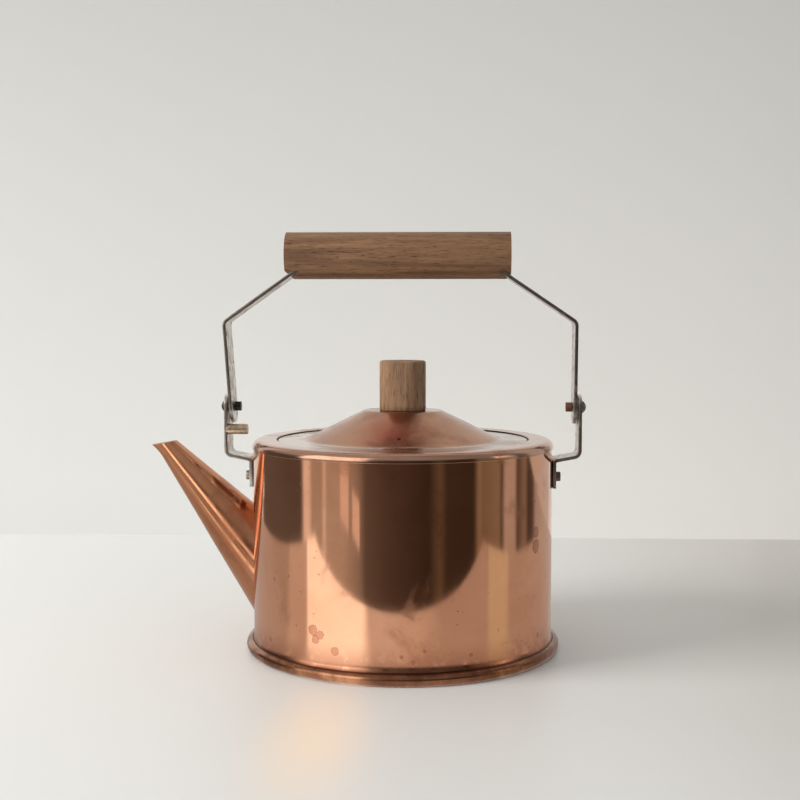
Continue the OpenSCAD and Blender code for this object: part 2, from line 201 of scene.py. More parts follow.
class Effects:
    """Shader node groups that more than one finish uses. Each is built once, when first asked for."""

    def __init__(self) -> None:
        """Starts with no group built."""
        self._trees: dict[str, bpy.types.NodeTree] = {}

    def _tree(self, name: str, inputs: dict[str, tuple[str, Any]], outputs: Iterable[str],
              build: Callable[[Graph, bpy.types.Node, bpy.types.Node], None]) -> bpy.types.NodeTree:
        """The named group, built by `build` the first time."""
        if name not in self._trees:
            tree = bpy.data.node_groups.new(name, "ShaderNodeTree")
            for label, (kind, value) in inputs.items():
                socket = tree.interface.new_socket(label, in_out="INPUT", socket_type=kind)
                if value is not None:
                    socket.default_value = value
            for label in outputs:
                tree.interface.new_socket(label, in_out="OUTPUT", socket_type="NodeSocketFloat")
            graph = Graph(tree)
            build(graph, graph.add("NodeGroupInput"), graph.add("NodeGroupOutput"))
            self._trees[name] = tree
        return self._trees[name]

    @staticmethod
    def _place(graph: Graph, tree: bpy.types.NodeTree, inputs: dict[str, Any]) -> bpy.types.Node:
        """Puts a group into a material's graph with its own values."""
        node = graph.add("ShaderNodeGroup", node_tree=tree)
        for key, value in inputs.items():
            graph.feed(node.inputs[key], value)
        return node

    def blotches(self, graph: Graph, vector: Any, scale: float, cover: Any, softness: float = 0.06
                 ) -> bpy.types.NodeSocket:
        """Irregular patches, such as patina or rust.

        Args:
            graph: the material's graph.
            vector: coordinates in metres.
            scale: patches per metre, roughly.
            cover: share of the surface that they cover, 0 to 1.
            softness: width of their edges, as a share of the noise.

        Returns:
            A mask, 1 inside a patch.
        """
        def build(group: Graph, given: bpy.types.Node, result: bpy.types.Node) -> None:
            raw = group.noise(given.outputs["Vector"], given.outputs["Scale"], 7.0, 0.62, 0.4)
            edge = group.math("SUBTRACT", 0.72, group.math("MULTIPLY", given.outputs["Cover"], 0.44))
            low = group.math("SUBTRACT", edge, given.outputs["Softness"])
            high = group.math("ADD", edge, given.outputs["Softness"])
            group.feed(result.inputs["Mask"], group.remap(raw, low, high))

        tree = self._tree("blotches", {"Vector": ("NodeSocketVector", None),
                                       "Scale": ("NodeSocketFloat", 50.0),
                                       "Cover": ("NodeSocketFloat", 0.4),
                                       "Softness": ("NodeSocketFloat", 0.06)}, ["Mask"], build)
        return self._place(graph, tree, {"Vector": vector, "Scale": scale, "Cover": cover,
                                         "Softness": softness}).outputs["Mask"]

    def scratches(self, graph: Graph, vector: Any, scale: float) -> bpy.types.NodeSocket:
        """Fine parallel wear lines, from coordinates already stretched along the lines.

        Args:
            graph: the material's graph.
            vector: stretched coordinates.
            scale: lines per metre across them, roughly.

        Returns:
            A height from 0 to 1.
        """
        def build(group: Graph, given: bpy.types.Node, result: bpy.types.Node) -> None:
            fine = group.noise(given.outputs["Vector"], given.outputs["Scale"], 3.0, 0.7)
            wide = group.noise(given.outputs["Vector"], group.math("MULTIPLY", given.outputs["Scale"], 0.22),
                               2.0, 0.5)
            mixed = group.math("ADD", group.math("MULTIPLY", fine, 0.5), group.math("MULTIPLY", wide, 0.5))
            group.feed(result.inputs["Height"], mixed)

        tree = self._tree("scratches", {"Vector": ("NodeSocketVector", None),
                                        "Scale": ("NodeSocketFloat", 300.0)}, ["Height"], build)
        return self._place(graph, tree, {"Vector": vector, "Scale": scale}).outputs["Height"]

    def ring_stain(self, graph: Graph, vector: Any, centre: Sequence[float], radius: float
                   ) -> tuple[bpy.types.NodeSocket, bpy.types.NodeSocket]:
        """A dried drop: a faint disc with a darker, slightly ragged rim.

        Args:
            graph: the material's graph.
            vector: coordinates in metres.
            centre: the drop's centre in metres.
            radius: its radius in metres.

        Returns:
            Masks of the disc and of its rim.
        """
        def build(group: Graph, given: bpy.types.Node, result: bpy.types.Node) -> None:
            away = group.measure("DISTANCE", given.outputs["Vector"], given.outputs["Centre"])
            ragged = group.noise(given.outputs["Vector"], 420.0, 3.0, 0.6)
            wobble = group.math("MULTIPLY_ADD", ragged, 0.7, 0.65)
            share = group.math("DIVIDE", group.math("MULTIPLY", away, wobble), given.outputs["Radius"])
            group.feed(result.inputs["Disc"], group.remap(share, 1.0, 0.86))
            ring = group.math("SUBTRACT", 1.0, group.math("ABSOLUTE", group.math("SUBTRACT", share, 0.9)))
            group.feed(result.inputs["Rim"], group.remap(ring, 0.84, 0.96))

        tree = self._tree("ring stain", {"Vector": ("NodeSocketVector", None),
                                         "Centre": ("NodeSocketVector", None),
                                         "Radius": ("NodeSocketFloat", 0.003)}, ["Disc", "Rim"], build)
        node = self._place(graph, tree, {"Vector": vector, "Centre": centre, "Radius": radius})
        return node.outputs["Disc"], node.outputs["Rim"]

    def grain(self, graph: Graph, vector: Any, scale: float) -> bpy.types.Node:
        """Wood grain along the vector's X axis.

        Args:
            graph: the material's graph.
            vector: coordinates with the grain along X, in metres.
            scale: size of the pattern, 1 for a close-grained stick.

        Returns:
            A node with outputs Bands, Fibre and Pores, each 0 to 1.
        """
        def build(group: Graph, given: bpy.types.Node, result: bpy.types.Node) -> None:
            scaled = group.vector("SCALE", given.outputs["Vector"])
            group.tree.links.new(given.outputs["Scale"], group.tree.nodes[-1].inputs["Scale"])
            long = group.stretch(scaled, (9.0, 150.0, 150.0))
            bands = group.noise(long, 1.0, 5.0, 0.6, 1.1)
            fibre = group.noise(group.stretch(scaled, (45.0, 1400.0, 1400.0)), 1.0, 3.0, 0.65)
            pores = group.noise(group.stretch(scaled, (160.0, 2600.0, 2600.0), (0.3, 0.7, 0.1)), 1.0, 1.0, 0.5)
            group.feed(result.inputs["Bands"], bands)
            group.feed(result.inputs["Fibre"], fibre)
            group.feed(result.inputs["Pores"], group.remap(pores, 0.60, 0.70))

        tree = self._tree("wood grain", {"Vector": ("NodeSocketVector", None),
                                         "Scale": ("NodeSocketFloat", 1.0)},
                          ["Bands", "Fibre", "Pores"], build)
        return self._place(graph, tree, {"Vector": vector, "Scale": scale})


EFFECTS = Effects()


def new_material(name: str) -> tuple[bpy.types.Material, Graph, bpy.types.Node]:
    """An empty node material.

    Args:
        name: the material's name.

    Returns:
        The material, its graph and its Principled BSDF, already joined to the output.
    """
    material = bpy.data.materials.new(name)
    material.use_nodes = True
    material.node_tree.nodes.clear()
    graph = Graph(material.node_tree)
    shader = graph.add("ShaderNodeBsdfPrincipled")
    graph.add("ShaderNodeOutputMaterial", {"Surface": shader.outputs[0]})
    return material, graph, shader


# ---------------------------------------------------------------------------------------------
# Finishes
# ---------------------------------------------------------------------------------------------


@dataclass(frozen=True)
class Drop:
    """A dried drop on the wall: degrees round from the front, then height and radius in millimetres."""

    angle: float
    height: float
    radius: float

    def centre(self, wall_radius: float) -> tuple[float, float, float]:
        """The drop's middle on a wall of the given radius in millimetres."""
        turn = math.radians(self.angle)
        return wall_radius * math.sin(turn) * MM, -wall_radius * math.cos(turn) * MM, self.height * MM


@dataclass(frozen=True)
class PaintedBand:
    """A band round the kettle's axis in millimetres, painted in another colour: painted shade in a gap, or a
    painted reflection.
    """

    inner: float
    outer: float
    fade: float
    colour: Colour
    strength: float


@dataclass(frozen=True)
class Heat:
    """A soft-edged patch of heat colour, in millimetres."""

    x: float
    y: float
    z: float
    radius: float
    colour: Colour
    strength: float


@dataclass(frozen=True)
class CopperFinish:
    """Used, polished copper sheet with heat patina, brushing and dried drops."""

    name: str
    bright: Colour = rgb(0.80, 0.43, 0.275)
    deep: Colour = rgb(0.60, 0.27, 0.15)
    patina: Colour = rgb(0.33, 0.105, 0.055)
    patina_cover: float = 0.22
    speck_cover: float = 0.12
    patina_strength: float = 0.34
    roughness: float = 0.055
    roughness_spread: float = 0.07
    brush_axis: tuple[float, float, float] = (1.0, 1.0, 0.035)
    dent: float = 0.00006
    dark_foot_and_crevice_shade: bool = False
    drops: tuple[Drop, ...] = ()
    wall_radius: float = 0.0
    # painted bands of shade or reflection round the axis
    painted_bands: tuple[PaintedBand, ...] = ()
    heats: tuple[Heat, ...] = ()

    def material(self) -> bpy.types.Material:
        """Builds the material.

        Returns:
            A metal whose patches, drops and brushing follow Object coordinates.
        """
        material, graph, shader = new_material(self.name)
        place = graph.add("ShaderNodeTexCoord").outputs["Object"]
        tone = graph.remap(graph.noise(place, 15.0, 5.0, 0.6, 0.3), 0.36, 0.66)
        colour = graph.blend(graph.math("MULTIPLY", tone, 0.42), self.bright, self.deep)
        patina = EFFECTS.blotches(graph, place, 34.0, self.patina_cover, 0.10)
        colour = self._zoned(graph, place, colour)
        colour = graph.blend(graph.math("MULTIPLY", patina, self.patina_strength), colour, self.patina)
        region = graph.remap(graph.noise(place, 22.0, 2.0, 0.5), 0.46, 0.66)
        specks = graph.math("MULTIPLY", EFFECTS.blotches(graph, place, 420.0, self.speck_cover, 0.03), region)
        colour = graph.blend(graph.math("MULTIPLY", specks, 0.75), colour, self.patina)
        dull = graph.math("MAXIMUM", graph.math("MULTIPLY", patina, 0.6), specks)
        if self.dark_foot_and_crevice_shade:
            # Blotchy, darker and duller towards the foot of the wall.
            height = graph.add("ShaderNodeSeparateXYZ", {0: place}).outputs[2]
            low = graph.remap(height, 0.024, 0.006)
            foot_darkening = graph.math("MULTIPLY", low, EFFECTS.blotches(graph, place, 120.0, 0.75, 0.12))
            colour = graph.blend(graph.math("MULTIPLY", foot_darkening, 0.55), colour, self.patina)
            # Painted shade: a near-black line in the crevice between the flared foot and the rolled rim.
            line = graph.remap(height, 0.0092, 0.0068)
            colour = graph.blend(graph.math("MULTIPLY", line, 0.85), colour, rgb(0.06, 0.022, 0.012))
            dull = graph.math("MAXIMUM", dull, graph.math("MULTIPLY", foot_darkening, 0.8))
        for drop in self.drops:
            disc, rim = EFFECTS.ring_stain(graph, place, drop.centre(self.wall_radius), drop.radius * MM)
            colour = graph.blend(graph.math("MULTIPLY", disc, 0.50), colour, rgb(0.42, 0.14, 0.085))
            colour = graph.blend(graph.math("MULTIPLY", rim, 0.34), colour, rgb(0.24, 0.07, 0.035))
            dull = graph.math("MAXIMUM", dull, graph.math("MULTIPLY", disc, 0.7))
        smear = graph.noise(place, 26.0, 6.0, 0.65, 0.8)
        rough = graph.math("MULTIPLY_ADD", smear, self.roughness_spread, self.roughness - 0.04)
        rough = graph.math("ADD", rough, graph.math("MULTIPLY", dull, 0.24), clamp=True)
        brushed = graph.stretch(place, self.brush_axis)
        lines = EFFECTS.scratches(graph, brushed, 900.0)
        rough = graph.math("MULTIPLY_ADD", lines, 0.05, rough)
        dents = graph.add("ShaderNodeBump", {"Strength": 1.0, "Distance": self.dent,
                                             "Height": graph.noise(place, 13.0, 1.0, 0.4)})
        fine = graph.add("ShaderNodeBump", {"Strength": 0.055, "Distance": 0.00012, "Height": lines,
                                            "Normal": dents.outputs[0]})
        shader.inputs["Metallic"].default_value = 1.0
        graph.feed(shader.inputs["Base Color"], colour)
        graph.feed(shader.inputs["Roughness"], rough)
        graph.feed(shader.inputs["Normal"], fine.outputs[0])
        return material

    def _zoned(self, graph: Graph, place: bpy.types.NodeSocket, colour: bpy.types.NodeSocket
               ) -> bpy.types.NodeSocket:
        """The colour with the finish's painted shade and reflection bands and its heat patches over it."""
        parts = graph.add("ShaderNodeSeparateXYZ", {0: place})
        across = graph.add("ShaderNodeCombineXYZ", {0: parts.outputs[0], 1: parts.outputs[1]}).outputs[0]
        radius = graph.measure("LENGTH", across)
        for zone in self.painted_bands:
            begin = graph.remap(radius, (zone.inner - zone.fade) * MM, zone.inner * MM)
            end = graph.remap(radius, (zone.outer + zone.fade) * MM, zone.outer * MM)
            mask = graph.math("MULTIPLY", graph.math("MULTIPLY", begin, end), zone.strength)
            colour = graph.blend(mask, colour, zone.colour)
        for heat in self.heats:
            away = graph.measure("DISTANCE", place, (heat.x * MM, heat.y * MM, heat.z * MM))
            ragged = graph.math("MULTIPLY_ADD", graph.noise(place, 70.0, 4.0, 0.6), 0.9, 0.55)
            near = graph.remap(graph.math("MULTIPLY", away, ragged), heat.radius * MM, 0.0)
            colour = graph.blend(graph.math("MULTIPLY", near, heat.strength), colour, heat.colour)
        return colour


@dataclass(frozen=True)
class TinFinish:
    """The tinned inside of the vessel and the lid."""

    name: str
    colour: Colour = rgb(0.52, 0.50, 0.47)

    def material(self) -> bpy.types.Material:
        """Builds the dull tin material."""
        material, graph, shader = new_material(self.name)
        place = graph.add("ShaderNodeTexCoord").outputs["Object"]
        cloudy = graph.remap(graph.noise(place, 55.0, 6.0, 0.65, 0.5), 0.35, 0.7)
        worn = EFFECTS.blotches(graph, place, 30.0, 0.2, 0.08)
        colour = graph.blend(graph.math("MULTIPLY", cloudy, 0.5), self.colour, rgb(0.30, 0.28, 0.26))
        colour = graph.blend(graph.math("MULTIPLY", worn, 0.5), colour, rgb(0.50, 0.27, 0.17))
        shader.inputs["Metallic"].default_value = 1.0
        graph.feed(shader.inputs["Base Color"], colour)
        graph.feed(shader.inputs["Roughness"], graph.math("MULTIPLY_ADD", cloudy, 0.2, 0.32))
        wavy = graph.add("ShaderNodeBump", {"Strength": 0.25, "Distance": 0.0004,
                                            "Height": graph.noise(place, 90.0, 4.0)})
        graph.feed(shader.inputs["Normal"], wavy.outputs[0])
        return material


@dataclass(frozen=True)
class SteelFinish:
    """Drawn flat steel or a steel fastener, with a painted dark reflection on the edges that face front and
    back, and some rust.
    """

    name: str
    face: Colour = rgb(0.78, 0.745, 0.70)
    shade: Colour = rgb(0.46, 0.42, 0.38)
    # colour of the painted dark reflection on edges facing front and back
    edge: Colour = rgb(0.075, 0.062, 0.055)
    rust: Colour = rgb(0.17, 0.075, 0.042)
    rust_cover: float = 0.22
    roughness: float = 0.30
    painted_edge_shade: float = 0.55

    def material(self) -> bpy.types.Material:
        """Builds the material.

        Returns:
            A metal whose edges facing front and back are painted dark, standing in for the dark room that they
            mirror, with brushing along the bar and rusty patches.
        """
        material, graph, shader = new_material(self.name)
        coordinates = graph.add("ShaderNodeTexCoord")
        place = coordinates.outputs["Object"]
        # Painted reflection: faces that look along Y are darkened towards the edge colour, standing in for the
        # dark room that they mirror.
        across = graph.add("ShaderNodeSeparateXYZ", {0: coordinates.outputs["Normal"]}).outputs[1]
        edge = graph.math("MULTIPLY", graph.remap(graph.math("ABSOLUTE", across), 0.6, 0.92), self.painted_edge_shade)
        mottle = graph.remap(graph.noise(place, 150.0, 6.0, 0.68, 0.4), 0.36, 0.68)
        colour = graph.blend(mottle, self.face, self.shade)
        colour = graph.blend(edge, colour, self.edge)
        rust = EFFECTS.blotches(graph, place, 260.0, self.rust_cover, 0.07)
        colour = graph.blend(graph.math("MULTIPLY", rust, 0.85), colour, self.rust)
        lines = EFFECTS.scratches(graph, graph.stretch(place, (0.35, 1.0, 0.03)), 1500.0)
        rough = graph.math("MULTIPLY_ADD", mottle, 0.16, self.roughness - 0.05)
        rough = graph.math("MULTIPLY_ADD", rust, 0.3, rough)
        graph.feed(shader.inputs["Base Color"], colour)
        graph.feed(shader.inputs["Metallic"], graph.math("SUBTRACT", 1.0, graph.math("MULTIPLY", rust, 0.75)))
        graph.feed(shader.inputs["Roughness"], graph.math("MULTIPLY_ADD", lines, 0.1, rough))
        pits = graph.math("MULTIPLY_ADD", rust, 0.6, lines)
        bump = graph.add("ShaderNodeBump", {"Strength": 0.22, "Distance": 0.0002, "Height": pits})
        graph.feed(shader.inputs["Normal"], bump.outputs[0])
        return material


@dataclass(frozen=True)
class BrassFinish:
    """The turned brass of the stop peg."""

    name: str
    bright: Colour = rgb(0.74, 0.60, 0.44)
    dull: Colour = rgb(0.42, 0.30, 0.20)

    def material(self) -> bpy.types.Material:
        """Builds the material with turning marks round the peg's axis."""
        material, graph, shader = new_material(self.name)
        place = graph.add("ShaderNodeTexCoord").outputs["Object"]
        rings = EFFECTS.scratches(graph, graph.stretch(place, (1.0, 0.02, 0.02)), 2600.0)
        tarnish = EFFECTS.blotches(graph, place, 220.0, 0.45, 0.1)
        shader.inputs["Metallic"].default_value = 1.0
        graph.feed(shader.inputs["Base Color"],
                   graph.blend(graph.math("MULTIPLY", tarnish, 0.7), self.bright, self.dull))
        graph.feed(shader.inputs["Roughness"], graph.math("MULTIPLY_ADD", tarnish, 0.15, 0.42))
        bump = graph.add("ShaderNodeBump", {"Strength": 0.1, "Distance": 0.0001, "Height": rings})
        graph.feed(shader.inputs["Normal"], bump.outputs[0])
        return material


@dataclass(frozen=True)
class WoodFinish:
    """Brown hardwood with its grain along one axis."""

    name: str
    light: Colour
    dark: Colour
    pore: Colour
    upright: bool = False
    grain_scale: float = 1.0
    roughness: float = 0.56

    def material(self) -> bpy.types.Material:
        """Builds the material.

        Returns:
            Wood with bands, fibres and open pores along the stick.
        """
        material, graph, shader = new_material(self.name)
        place = graph.add("ShaderNodeTexCoord").outputs["Object"]
        if self.upright:
            parts = graph.add("ShaderNodeSeparateXYZ", {0: place})
            place = graph.add("ShaderNodeCombineXYZ", {0: parts.outputs[2], 1: parts.outputs[0],
                                                       2: parts.outputs[1]}).outputs[0]
        grain = EFFECTS.grain(graph, place, self.grain_scale)
        bands = graph.remap(grain.outputs["Bands"], 0.33, 0.67)
        colour = graph.blend(bands, self.light, self.dark)
        fibre = graph.remap(grain.outputs["Fibre"], 0.34, 0.66)
        colour = graph.blend(graph.math("MULTIPLY", fibre, 0.5), colour, self.dark)
        patches = graph.remap(graph.noise(graph.stretch(place, (14.0, 60.0, 60.0)), 1.0, 3.0), 0.42, 0.68)
        colour = graph.blend(graph.math("MULTIPLY", patches, 0.34), colour, self.light)
        colour = graph.blend(graph.math("MULTIPLY", grain.outputs["Pores"], 0.8), colour, self.pore)
        height = graph.math("MULTIPLY_ADD", grain.outputs["Pores"], -0.9, grain.outputs["Fibre"])
        graph.feed(shader.inputs["Base Color"], colour)
        graph.feed(shader.inputs["Roughness"],
                   graph.math("MULTIPLY_ADD", grain.outputs["Pores"], 0.2, self.roughness))
        bump = graph.add("ShaderNodeBump", {"Strength": 0.45, "Distance": 0.0003, "Height": height})
        graph.feed(shader.inputs["Normal"], bump.outputs[0])
        return material


# ---------------------------------------------------------------------------------------------
# Geometry Nodes trees
# ---------------------------------------------------------------------------------------------


class ShapeTree:
    """A Geometry Nodes tree with named inputs that shapes the object that it is put on."""

    def __init__(self, name: str, inputs: dict[str, str]) -> None:
        """Makes the tree.

        Args:
            name: the tree's name.
            inputs: socket types by input name, without the geometry.
        """
        self.tree = bpy.data.node_groups.new(name, "GeometryNodeTree")
        self.tree.interface.new_socket("Geometry", in_out="INPUT", socket_type="NodeSocketGeometry")
        for label, kind in inputs.items():
            self.tree.interface.new_socket(label, in_out="INPUT", socket_type=kind)
        self.tree.interface.new_socket("Geometry", in_out="OUTPUT", socket_type="NodeSocketGeometry")
        self.graph = Graph(self.tree)
        self.given = self.graph.add("NodeGroupInput")
        self.build()

    def build(self) -> None:
        """Adds the nodes; each kind of tree has its own."""
        raise NotImplementedError

    def finish(self, geometry: bpy.types.NodeSocket) -> None:
        """Ends the tree in Realize Instances and Set Material."""
        real = self.graph.add("GeometryNodeRealizeInstances", {0: geometry}).outputs[0]
        dressed = self.graph.add("GeometryNodeSetMaterial", {"Geometry": real,
                                                             "Material": self.given.outputs["Material"]})
        self.graph.add("NodeGroupOutput", {0: dressed.outputs[0]})

    def make(self, name: str, base: bpy.types.Mesh, values: dict[str, Any]) -> bpy.types.Mesh:
        """Runs the tree on a base mesh.

        Args:
            name: name of the result.
            base: the profile or the points that the tree starts from.
            values: the inputs' values by name.

        Returns:
            The finished mesh, with no modifier left.
        """
        holder = bpy.data.objects.new(name + "_base", base)
        bpy.context.scene.collection.objects.link(holder)
        modifier = holder.modifiers.new("shape", "NODES")
        modifier.node_group = self.tree
        for item in self.tree.interface.items_tree:
            if item.item_type == "SOCKET" and item.in_out == "INPUT" and item.name in values:
                modifier[item.identifier] = values[item.name]
        graph = bpy.context.evaluated_depsgraph_get()
        mesh = bpy.data.meshes.new_from_object(holder.evaluated_get(graph))
        mesh.name = name
        bpy.data.objects.remove(holder)
        return mesh


class Lathe(ShapeTree):
    """Turns a profile, drawn as radius along X and height along Z, round the Z axis."""

    HUB = 0.01

    def __init__(self) -> None:
        """Makes the lathe's tree."""
        super().__init__("lathe", {"Segments": "NodeSocketInt", "Hub": "NodeSocketFloat",
                                   "Material": "NodeSocketMaterial"})

    def build(self) -> None:
        """Sweeps the profile along a circle and closes the poles."""
        graph, given = self.graph, self.given.outputs
        profile = graph.add("GeometryNodeMeshToCurve", {0: given["Geometry"]}).outputs[0]
        shift = graph.add("ShaderNodeCombineXYZ", {0: graph.math("MULTIPLY", given["Hub"], -1.0)}).outputs[0]
        laid = graph.add("GeometryNodeTransform", {"Geometry": profile, "Translation": shift,
                                                   "Rotation": (math.radians(90), 0.0, 0.0)}).outputs[0]
        circle = graph.add("GeometryNodeCurvePrimitiveCircle", {"Resolution": given["Segments"],
                                                                "Radius": given["Hub"]}).outputs[0]
        path = graph.add("GeometryNodeSetCurveNormal", {0: circle}, mode="Z_UP").outputs[0]
        turned = graph.add("GeometryNodeCurveToMesh", {"Curve": path, "Profile Curve": laid}).outputs[0]
        self.finish(graph.add("GeometryNodeMergeByDistance", {"Geometry": turned,
                                                              "Distance": 0.002 * MM}).outputs[0])

    def turn(self, name: str, profile: Sequence[Point2], closed: bool, material: bpy.types.Material,
             segments: int = 256) -> bpy.types.Mesh:
        """Turns a profile given in millimetres.

        Args:
            name: name of the mesh.
            profile: radius and height of each point.
            closed: whether the last point joins the first, or both lie on the axis.
            material: the finish.
            segments: faces round the axis.

        Returns:
            The turned mesh with its faces pointing outwards.
        """
        base = bpy.data.meshes.new(name + "_profile")
        edges = [(i, i + 1) for i in range(len(profile) - 1)]
        if closed:
            edges.append((len(profile) - 1, 0))
        base.from_pydata([(r * MM, 0.0, z * MM) for r, z in profile], edges, [])
        mesh = self.make(name, base, {"Segments": segments, "Hub": self.HUB, "Material": material})
        return outward(mesh)


class Rings(ShapeTree):
    """Flat washers along one axis, one on each point."""

    def __init__(self) -> None:
        """Makes the tree of the washers."""
        super().__init__("washers", {"Outer Radius": "NodeSocketFloat", "Bore Radius": "NodeSocketFloat",
                                     "Thickness": "NodeSocketFloat", "Turn": "NodeSocketVector",
                                     "Material": "NodeSocketMaterial"})

    def build(self) -> None:
        """Cuts the bore from a disc with a softened rim and puts the ring on the points."""
        graph, given = self.graph, self.given.outputs
        disc = graph.add("GeometryNodeMeshCylinder", {"Vertices": 64, "Radius": given["Outer Radius"],
                                                      "Depth": given["Thickness"]}).outputs[0]
        tall = graph.math("MULTIPLY", given["Thickness"], 3.0)
        hole = graph.add("GeometryNodeMeshCylinder", {"Vertices": 48, "Radius": given["Bore Radius"],
                                                      "Depth": tall}).outputs[0]
        ring = graph.add("GeometryNodeMeshBoolean", {"Mesh 1": disc, "Mesh 2": hole},
                         operation="DIFFERENCE", solver="EXACT").outputs[0]
        turned = graph.add("GeometryNodeTransform", {"Geometry": ring, "Rotation": given["Turn"]}).outputs[0]
        self.finish(graph.add("GeometryNodeInstanceOnPoints", {"Points": given["Geometry"],
                                                               "Instance": turned}).outputs[0])


class Nuts(ShapeTree):
    """Hexagonal nuts along X with chamfered corners and a bore, one on each point."""

    def __init__(self) -> None:
        """Makes the tree of the nuts."""
        super().__init__("nuts", {"Flats": "NodeSocketFloat", "Thickness": "NodeSocketFloat",
                                  "Bore Radius": "NodeSocketFloat", "Material": "NodeSocketMaterial"})

    def build(self) -> None:
        """Cuts a hexagon with a ball for the chamfer and a bar for the bore."""
        graph, given = self.graph, self.given.outputs
        corner = graph.math("MULTIPLY", given["Flats"], 0.5 / math.cos(math.radians(30)))
        block = graph.add("GeometryNodeMeshCylinder", {"Vertices": 6, "Radius": corner,
                                                       "Depth": given["Thickness"]}).outputs[0]
        squared = graph.math("ADD", graph.math("POWER", graph.math("MULTIPLY", given["Flats"], 0.525), 2.0),
                             graph.math("POWER", graph.math("MULTIPLY", given["Thickness"], 0.5), 2.0))
        ball = graph.add("GeometryNodeMeshUVSphere", {"Segments": 64, "Rings": 48,
                                                      "Radius": graph.math("SQRT", squared)}).outputs[0]
        chamfered = graph.add("GeometryNodeMeshBoolean", operation="INTERSECT", solver="EXACT")
        for part in (block, ball):
            graph.tree.links.new(part, chamfered.inputs["Mesh 2"])
        bar = graph.add("GeometryNodeMeshCylinder", {"Vertices": 48, "Radius": given["Bore Radius"],
                                                     "Depth": graph.math("MULTIPLY", given["Thickness"], 3.0)})
        nut = graph.add("GeometryNodeMeshBoolean", {"Mesh 1": chamfered.outputs[0], "Mesh 2": bar.outputs[0]},
                        operation="DIFFERENCE", solver="EXACT").outputs[0]
        flat_up = graph.add("GeometryNodeTransform",
                            {"Geometry": nut, "Rotation": (0.0, 0.0, math.radians(30))}).outputs[0]
        turned = graph.add("GeometryNodeTransform",
                           {"Geometry": flat_up, "Rotation": (0.0, math.radians(90), 0.0)}).outputs[0]
        self.finish(graph.add("GeometryNodeInstanceOnPoints", {"Points": given["Geometry"],
                                                               "Instance": turned}).outputs[0])


# ---------------------------------------------------------------------------------------------
# Mesh tools
# ---------------------------------------------------------------------------------------------


def outward(mesh: bpy.types.Mesh) -> bpy.types.Mesh:
    """Points a closed mesh's faces outwards and returns it."""
    shape = bmesh.new()
    shape.from_mesh(mesh)
    bmesh.ops.recalc_face_normals(shape, faces=shape.faces)
    if shape.calc_volume(signed=True) < 0:
        bmesh.ops.reverse_faces(shape, faces=shape.faces)
    shape.to_mesh(mesh)
    shape.free()
    return mesh


def soften(mesh: bpy.types.Mesh, angle: float = 32.0) -> bpy.types.Mesh:
    """Shades a mesh smooth, with sharp edges where faces meet at more than the angle in degrees."""
    mesh.polygons.foreach_set("use_smooth", [True] * len(mesh.polygons))
    mesh.set_sharp_from_angle(angle=math.radians(angle))
    return mesh


def rounded(points: Sequence[Point2], radii: Sequence[float], steps: int = 6) -> list[Point2]:
    """Rounds the corners of a closed outline.

    Args:
        points: the corners.
        radii: the rounding at each corner, 0 for a sharp one.
        steps: straight pieces in each rounding.

    Returns:
        The outline's points.
    """
    result: list[Point2] = []
    count = len(points)
    for i, radius in enumerate(radii):
        corner = Vector(points[i])
        before = (Vector(points[i - 1]) - corner)
        after = (Vector(points[(i + 1) % count]) - corner)
        if radius <= 0:
            result.append(tuple(corner))
            continue
        half = before.angle(after) / 2
        reach = min(radius / math.tan(half), 0.94 * before.length, 0.94 * after.length)
        true_radius = reach * math.tan(half)
        start, end = corner + before.normalized() * reach, corner + after.normalized() * reach
        inwards = (before.normalized() + after.normalized()).normalized()
        middle = corner + inwards * (true_radius / math.sin(half))
        first, last = start - middle, end - middle
        sweep = first.angle_signed(last)
        for k in range(steps + 1):
            result.append(tuple(middle + Matrix.Rotation(-sweep * k / steps, 2) @ first))
    return result


def spread(points: Sequence[Point2], step: float, closed: bool = True) -> list[Point2]:
    """Adds points so that no straight piece of an outline is longer than the step."""
    result: list[Point2] = []
    count = len(points)
    for i in range(count if closed else count - 1):
        here, there = Vector(points[i]), Vector(points[(i + 1) % count])
        parts = max(1, math.ceil((there - here).length / step))
        result.extend(tuple(here.lerp(there, k / parts)) for k in range(parts))
    if not closed:
        result.append(tuple(points[-1]))
    return result


def arc(centre: Point2, radius: float, start: float, end: float, steps: int) -> list[Point2]:
    """Points on an arc, with angles in degrees."""
    angles = [math.radians(start + (end - start) * k / steps) for k in range(steps + 1)]
    return [(centre[0] + radius * math.cos(a), centre[1] + radius * math.sin(a)) for a in angles]


def cut(mesh: bpy.types.Mesh, cutter: bpy.types.Mesh) -> bpy.types.Mesh:
    """The mesh with the cutter's space removed, as a new mesh."""
    scene = bpy.context.scene.collection.objects
    body = bpy.data.objects.new("cut_body", mesh)
    tool = bpy.data.objects.new("cut_tool", cutter)
    scene.link(body)
    scene.link(tool)
    modifier = body.modifiers.new("cut", "BOOLEAN")
    modifier.operation, modifier.solver, modifier.object = "DIFFERENCE", "EXACT", tool
    result = bpy.data.meshes.new_from_object(body.evaluated_get(bpy.context.evaluated_depsgraph_get()))
    bpy.data.objects.remove(body)
    bpy.data.objects.remove(tool)
    return result


def wobble(mesh: bpy.types.Mesh, amount: float, length: float, weight: Callable[[Vector], float],
           seed: float = 0.0) -> bpy.types.Mesh:
    """Moves a turned sheet a little in and out, as hand work does.

    Args:
        mesh: the mesh, turned round the Z axis.
        amount: the largest move in millimetres.
        length: distance between bumps in millimetres.
        weight: how much of the move a place gets, 0 to 1.
        seed: shifts the pattern.

    Returns:
        The same mesh.
    """
    for vertex in mesh.vertices:
        place = vertex.co
        across = Vector((place.x, place.y, 0.0))
        if across.length < 1e-6:
            continue
        out = across.normalized()
        probe = Vector((out.x * 90.0, out.y * 90.0, place.z / MM)) / length + Vector((seed, seed * 1.7, seed))
        vertex.co = place + out * (noise.noise(probe) * amount * MM * weight(place))
    return mesh


